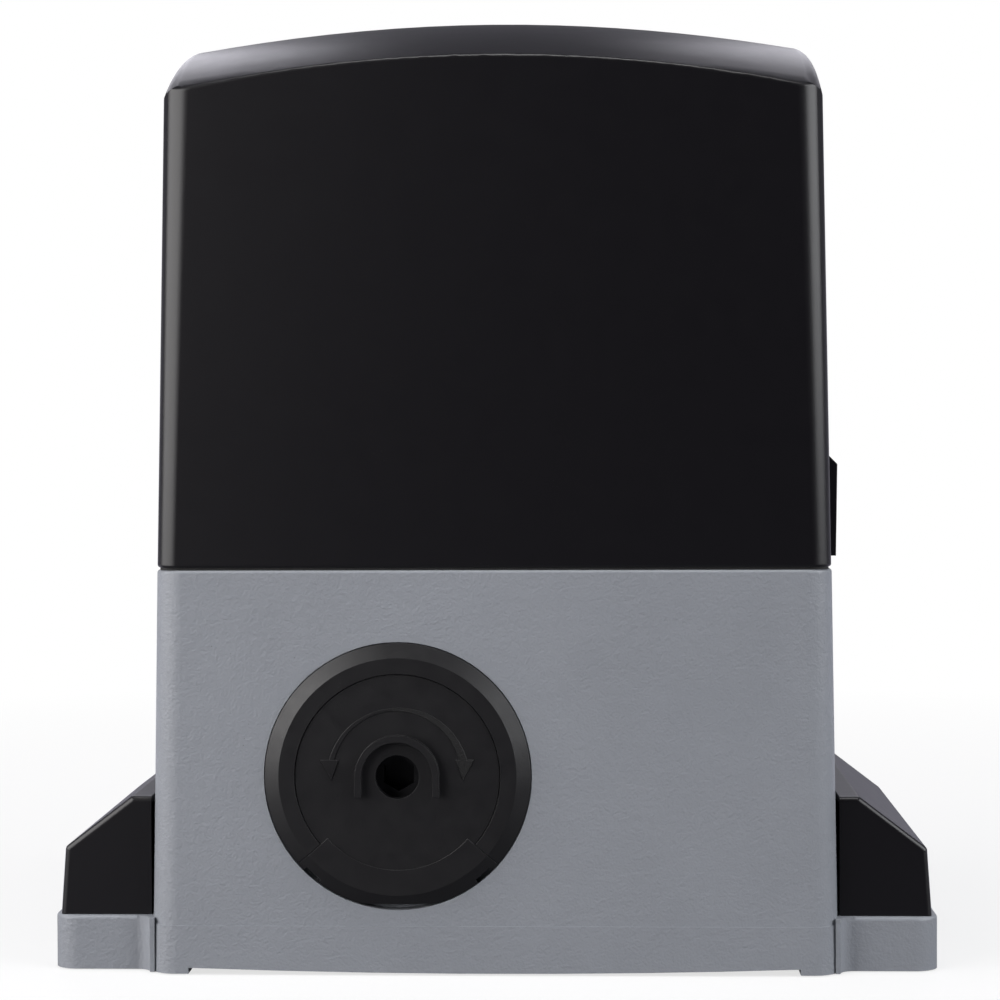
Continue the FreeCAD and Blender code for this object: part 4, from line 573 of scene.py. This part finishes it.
def feeler_coil():
    """Close-wound spring as wide as the solid one that it replaces, and within its length."""
    low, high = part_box("feeler_spring")
    middle = (low + high) / 2
    radius = (high.x - low.x) / 2 - COIL_WIRE
    turns = (high.y - low.y - 2 * COIL_WIRE) / COIL_PITCH
    points = []
    for n in range(int(turns * COIL_POINTS_A_TURN) + 1):
        turn = n / COIL_POINTS_A_TURN
        angle = 2 * math.pi * turn
        points.append((middle.x + radius * math.cos(angle), low.y + COIL_WIRE + COIL_PITCH * turn,
                       middle.z + radius * math.sin(angle)))
    return tube_along("feeler_coil", points, COIL_WIRE, MATERIALS["spring_steel"], 8)


coil = feeler_coil()
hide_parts("feeler_spring")
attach(coil, "feeler")

# ------------------------------------------------------------------ control board: small parts
BOARD_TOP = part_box("control_board")[1].z
CHIPS = [(-18, 6, 9, 26, 3.2), (-40, 12, 11, 11, 2.2), (-40, 32, 8, 12, 2.2),
         (-58, 30, 6, 9, 2.0), (6, -18, 12, 8, 2.4), (-6, 36, 14, 9, 2.4)]    # x, y, width, depth, height
CANS = [(-62, 6, 4, 11), (-62, 17, 4, 11), (66, -20, 5, 13), (12, 44, 3, 8)]  # x, y, radius, height
CHIP_SINK = 0.05 * MM
TERMINAL_PITCH = 5.0 * MM
TERMINALS = 10
TERMINAL_SCREW_INSET = 8.2 * MM
FUSE_PLACE = Vector((18 * MM, -12 * MM, BOARD_TOP + 3.0 * MM))
FUSE_RADIUS = 2.6 * MM
FUSE_LENGTH = 20.0 * MM
FUSE_EDGE = 0.2 * MM


def chips():
    for n, sizes_mm in enumerate(CHIPS):
        x, y, width, depth, height = (value * MM for value in sizes_mm)
        chip = soft_box("chip_%d" % n, (x - width / 2, y - depth / 2, BOARD_TOP - CHIP_SINK),
                        (x + width / 2, y + depth / 2, BOARD_TOP + height), DARK)
        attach(chip, "root")


def small_cans():
    """Electrolytic capacitors, with a rounded foot and a rim round the sunk top."""
    for n, (x, y, radius, height) in enumerate(CANS):
        profile = [(radius * 0.9, 0), (radius, 0.5), (radius, height - 0.8), (radius * 0.86, height),
                   (radius * 0.8, height - 0.3)]
        can = turned("can_%d" % n, [(out * MM, along * MM) for out, along in profile],
                     (x * MM, y * MM, BOARD_TOP), (0, 0, 1), SLEEVE, 24)
        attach(can, "root")


def terminal_screws():
    low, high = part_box("terminal_blocks")
    profile = [(1.5 * MM, -1.0 * MM), (1.5 * MM, 0.25 * MM), (1.3 * MM, 0.4 * MM)]
    starts = (low.x, high.x - TERMINALS * TERMINAL_PITCH)
    for n in range(len(starts) * TERMINALS):
        x = starts[n // TERMINALS] + TERMINAL_PITCH * (n % TERMINALS + 0.5)
        head = turned("terminal_screw_%d" % n, profile, (x, low.y + TERMINAL_SCREW_INSET, high.z),
                      (0, 0, 1), TIN, 16)
        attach(head, "root")


def fuse():
    profile = [(FUSE_RADIUS - FUSE_EDGE, 0), (FUSE_RADIUS, FUSE_EDGE),
               (FUSE_RADIUS, FUSE_LENGTH - FUSE_EDGE), (FUSE_RADIUS - FUSE_EDGE, FUSE_LENGTH)]
    body = turned("fuse_body", profile, FUSE_PLACE, (1, 0, 0), MATERIALS["capacitor_case"], 20)
    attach(body, "root")


chips()
small_cans()
terminal_screws()
fuse()

# ------------------------------------------------------------------ camera, light, floor
CAMERA_PLACE = (0.03176, -0.99328, 0.18506)
CAMERA_YAW = math.radians(-1.838)
CAMERA_PITCH = math.radians(-1.751)
CAMERA_ROLL = math.radians(-0.189)
CAMERA_LENS = 99.2592               # for a sensor 36 wide
FLOOR_HALF = 6.0
FLOOR_Z = -0.0004
FLOOR_GLOW_NEAR = 0.72              # less than 1 keeps the contact shadow
SKY_FRONT = 0.02
SKY_REAR = 0.16
SKY_LOW_REAR = 0.6
WHITE = (1.0, 1.0, 1.0, 1.0)
SOFTBOXES = {                       # place, target, size, power, colour
    "left_softbox": ((-1.10, -0.62, 0.60), (0, 0, 0.12), (1.5, 1.2), 24.0, (1.0, 0.985, 0.98)),
    "left_front_softbox": ((-0.95, -1.75, 0.45), (0, 0, 0.2), (0.35, 0.9), 1.6, (1.0, 0.97, 0.98)),
    "right_softbox": ((1.6, -0.70, 0.9), (0, 0, 0.12), (1.5, 1.4), 30.0, (0.97, 0.98, 1.0)),
    "rear_left_softbox": ((-0.66, 1.89, 1.30), (0, 0, 0.31), (0.45, 1.2), 4.6, (0.93, 0.92, 1.0)),
    "rear_right_softbox": ((0.50, 1.94, 1.30), (0, 0, 0.31), (0.45, 1.2), 3.5, (0.93, 0.92, 1.0)),
    "top_softbox": ((0.0, -0.35, 1.7), (0, 0, 0.1), (0.8, 0.5), 8.0, (1.0, 1.0, 1.0)),
}


def camera():
    data = bpy.data.cameras.new("camera")
    data.lens = CAMERA_LENS
    data.sensor_width = 36.0
    data.clip_start = 0.05
    data.clip_end = 50.0
    obj = bpy.data.objects.new("camera", data)
    bpy.context.scene.collection.objects.link(obj)
    level = math.cos(CAMERA_PITCH)
    forward = Vector((math.sin(CAMERA_YAW) * level, math.cos(CAMERA_YAW) * level, math.sin(CAMERA_PITCH)))
    right = Vector((math.cos(CAMERA_YAW), -math.sin(CAMERA_YAW), 0.0))
    up = right.cross(forward)
    tilted_right = math.cos(CAMERA_ROLL) * right + math.sin(CAMERA_ROLL) * up
    tilted_up = -math.sin(CAMERA_ROLL) * right + math.cos(CAMERA_ROLL) * up
    turn = Matrix((tilted_right, tilted_up, -forward)).transposed()
    obj.matrix_world = Matrix.Translation(CAMERA_PLACE) @ turn.to_4x4()
    bpy.context.scene.camera = obj


def area_light(name, place, target, size, power, colour):
    data = bpy.data.lights.new(name, "AREA")
    data.shape = "RECTANGLE"
    data.size, data.size_y = size
    data.energy = power
    data.color = colour
    obj = bpy.data.objects.new(name, data)
    bpy.context.scene.collection.objects.link(obj)
    obj.location = place
    obj.rotation_euler = (Vector(target) - Vector(place)).to_track_quat("-Z", "Y").to_euler()
    obj.visible_camera = False


def floor():
    """White paper that keeps a faint contact shadow; in reflections it is dark in front, pale behind."""
    b = Builder("studio_floor")
    b.bump(b.noise(300.0, 2.0), 0.0001, 0.2)
    rear = b.add("ShaderNodeSeparateXYZ", Vector=b.place).outputs["Y"]
    reflected = b.mix(b.ramp(rear, -0.1, 0.3), (0.10, 0.10, 0.11), (0.80, 0.78, 0.92))
    pale = b.mix(b.noise(3.0, 2.0), (0.86, 0.86, 0.87), (0.88, 0.88, 0.89))
    direct = b.add("ShaderNodeLightPath").outputs["Is Camera Ray"]
    material = b.finish(b.mix(direct, reflected, pale), 0.7)
    glow = b.add("ShaderNodeEmission", Color=WHITE, Strength=1.0)
    away = b.add("ShaderNodeVectorMath")
    away.operation = "LENGTH"
    b.put(away.inputs[0], b.place)
    glowing = b.ramp(away.outputs["Value"], 0.15, 0.9, FLOOR_GLOW_NEAR, 1.0)
    both = b.mix_shaders(b.math("MULTIPLY", direct, glowing), b.shader.outputs["BSDF"],
                         glow.outputs["Emission"])
    b.put(b.tree.nodes["Material Output"].inputs["Surface"], both)
    half = FLOOR_HALF
    obj = mesh_object("floor", [(-half, -half, 0), (half, -half, 0), (half, half, 0), (-half, half, 0)],
                      [(0, 1, 2, 3)], material)
    obj.location.z = FLOOR_Z


def world():
    """White backdrop; what lights the object is dim, and darkest in front of it."""
    studio = bpy.data.worlds.new("studio")
    bpy.context.scene.world = studio
    studio.use_nodes = True
    w = Nodes(studio.node_tree)
    sky = w.tree.nodes["Background"]
    sky.inputs["Color"].default_value = (0.88, 0.87, 1.0, 1.0)
    split = w.add("ShaderNodeSeparateXYZ")
    w.put(split.inputs[0], w.add("ShaderNodeTexCoord").outputs["Generated"])
    depth = w.ramp(split.outputs["Y"], -0.6, 0.5, SKY_FRONT, SKY_REAR)
    low = w.ramp(split.outputs["Z"], 0.12, 0.02, 0.0, SKY_LOW_REAR)
    behind = w.ramp(split.outputs["Y"], 0.2, 0.8)
    w.put(sky.inputs["Strength"], w.math("MULTIPLY_ADD", low, behind, depth))
    paper = w.add("ShaderNodeBackground", Color=WHITE, Strength=1.0)
    direct = w.add("ShaderNodeLightPath").outputs["Is Camera Ray"]
    both = w.mix_shaders(direct, sky.outputs["Background"], paper.outputs["Background"])
    w.put(w.tree.nodes["World Output"].inputs["Surface"], both)


bpy.context.scene.view_settings.view_transform = "Standard"
camera()
for name, settings in SOFTBOXES.items():
    area_light(name, *settings)
floor()
world()
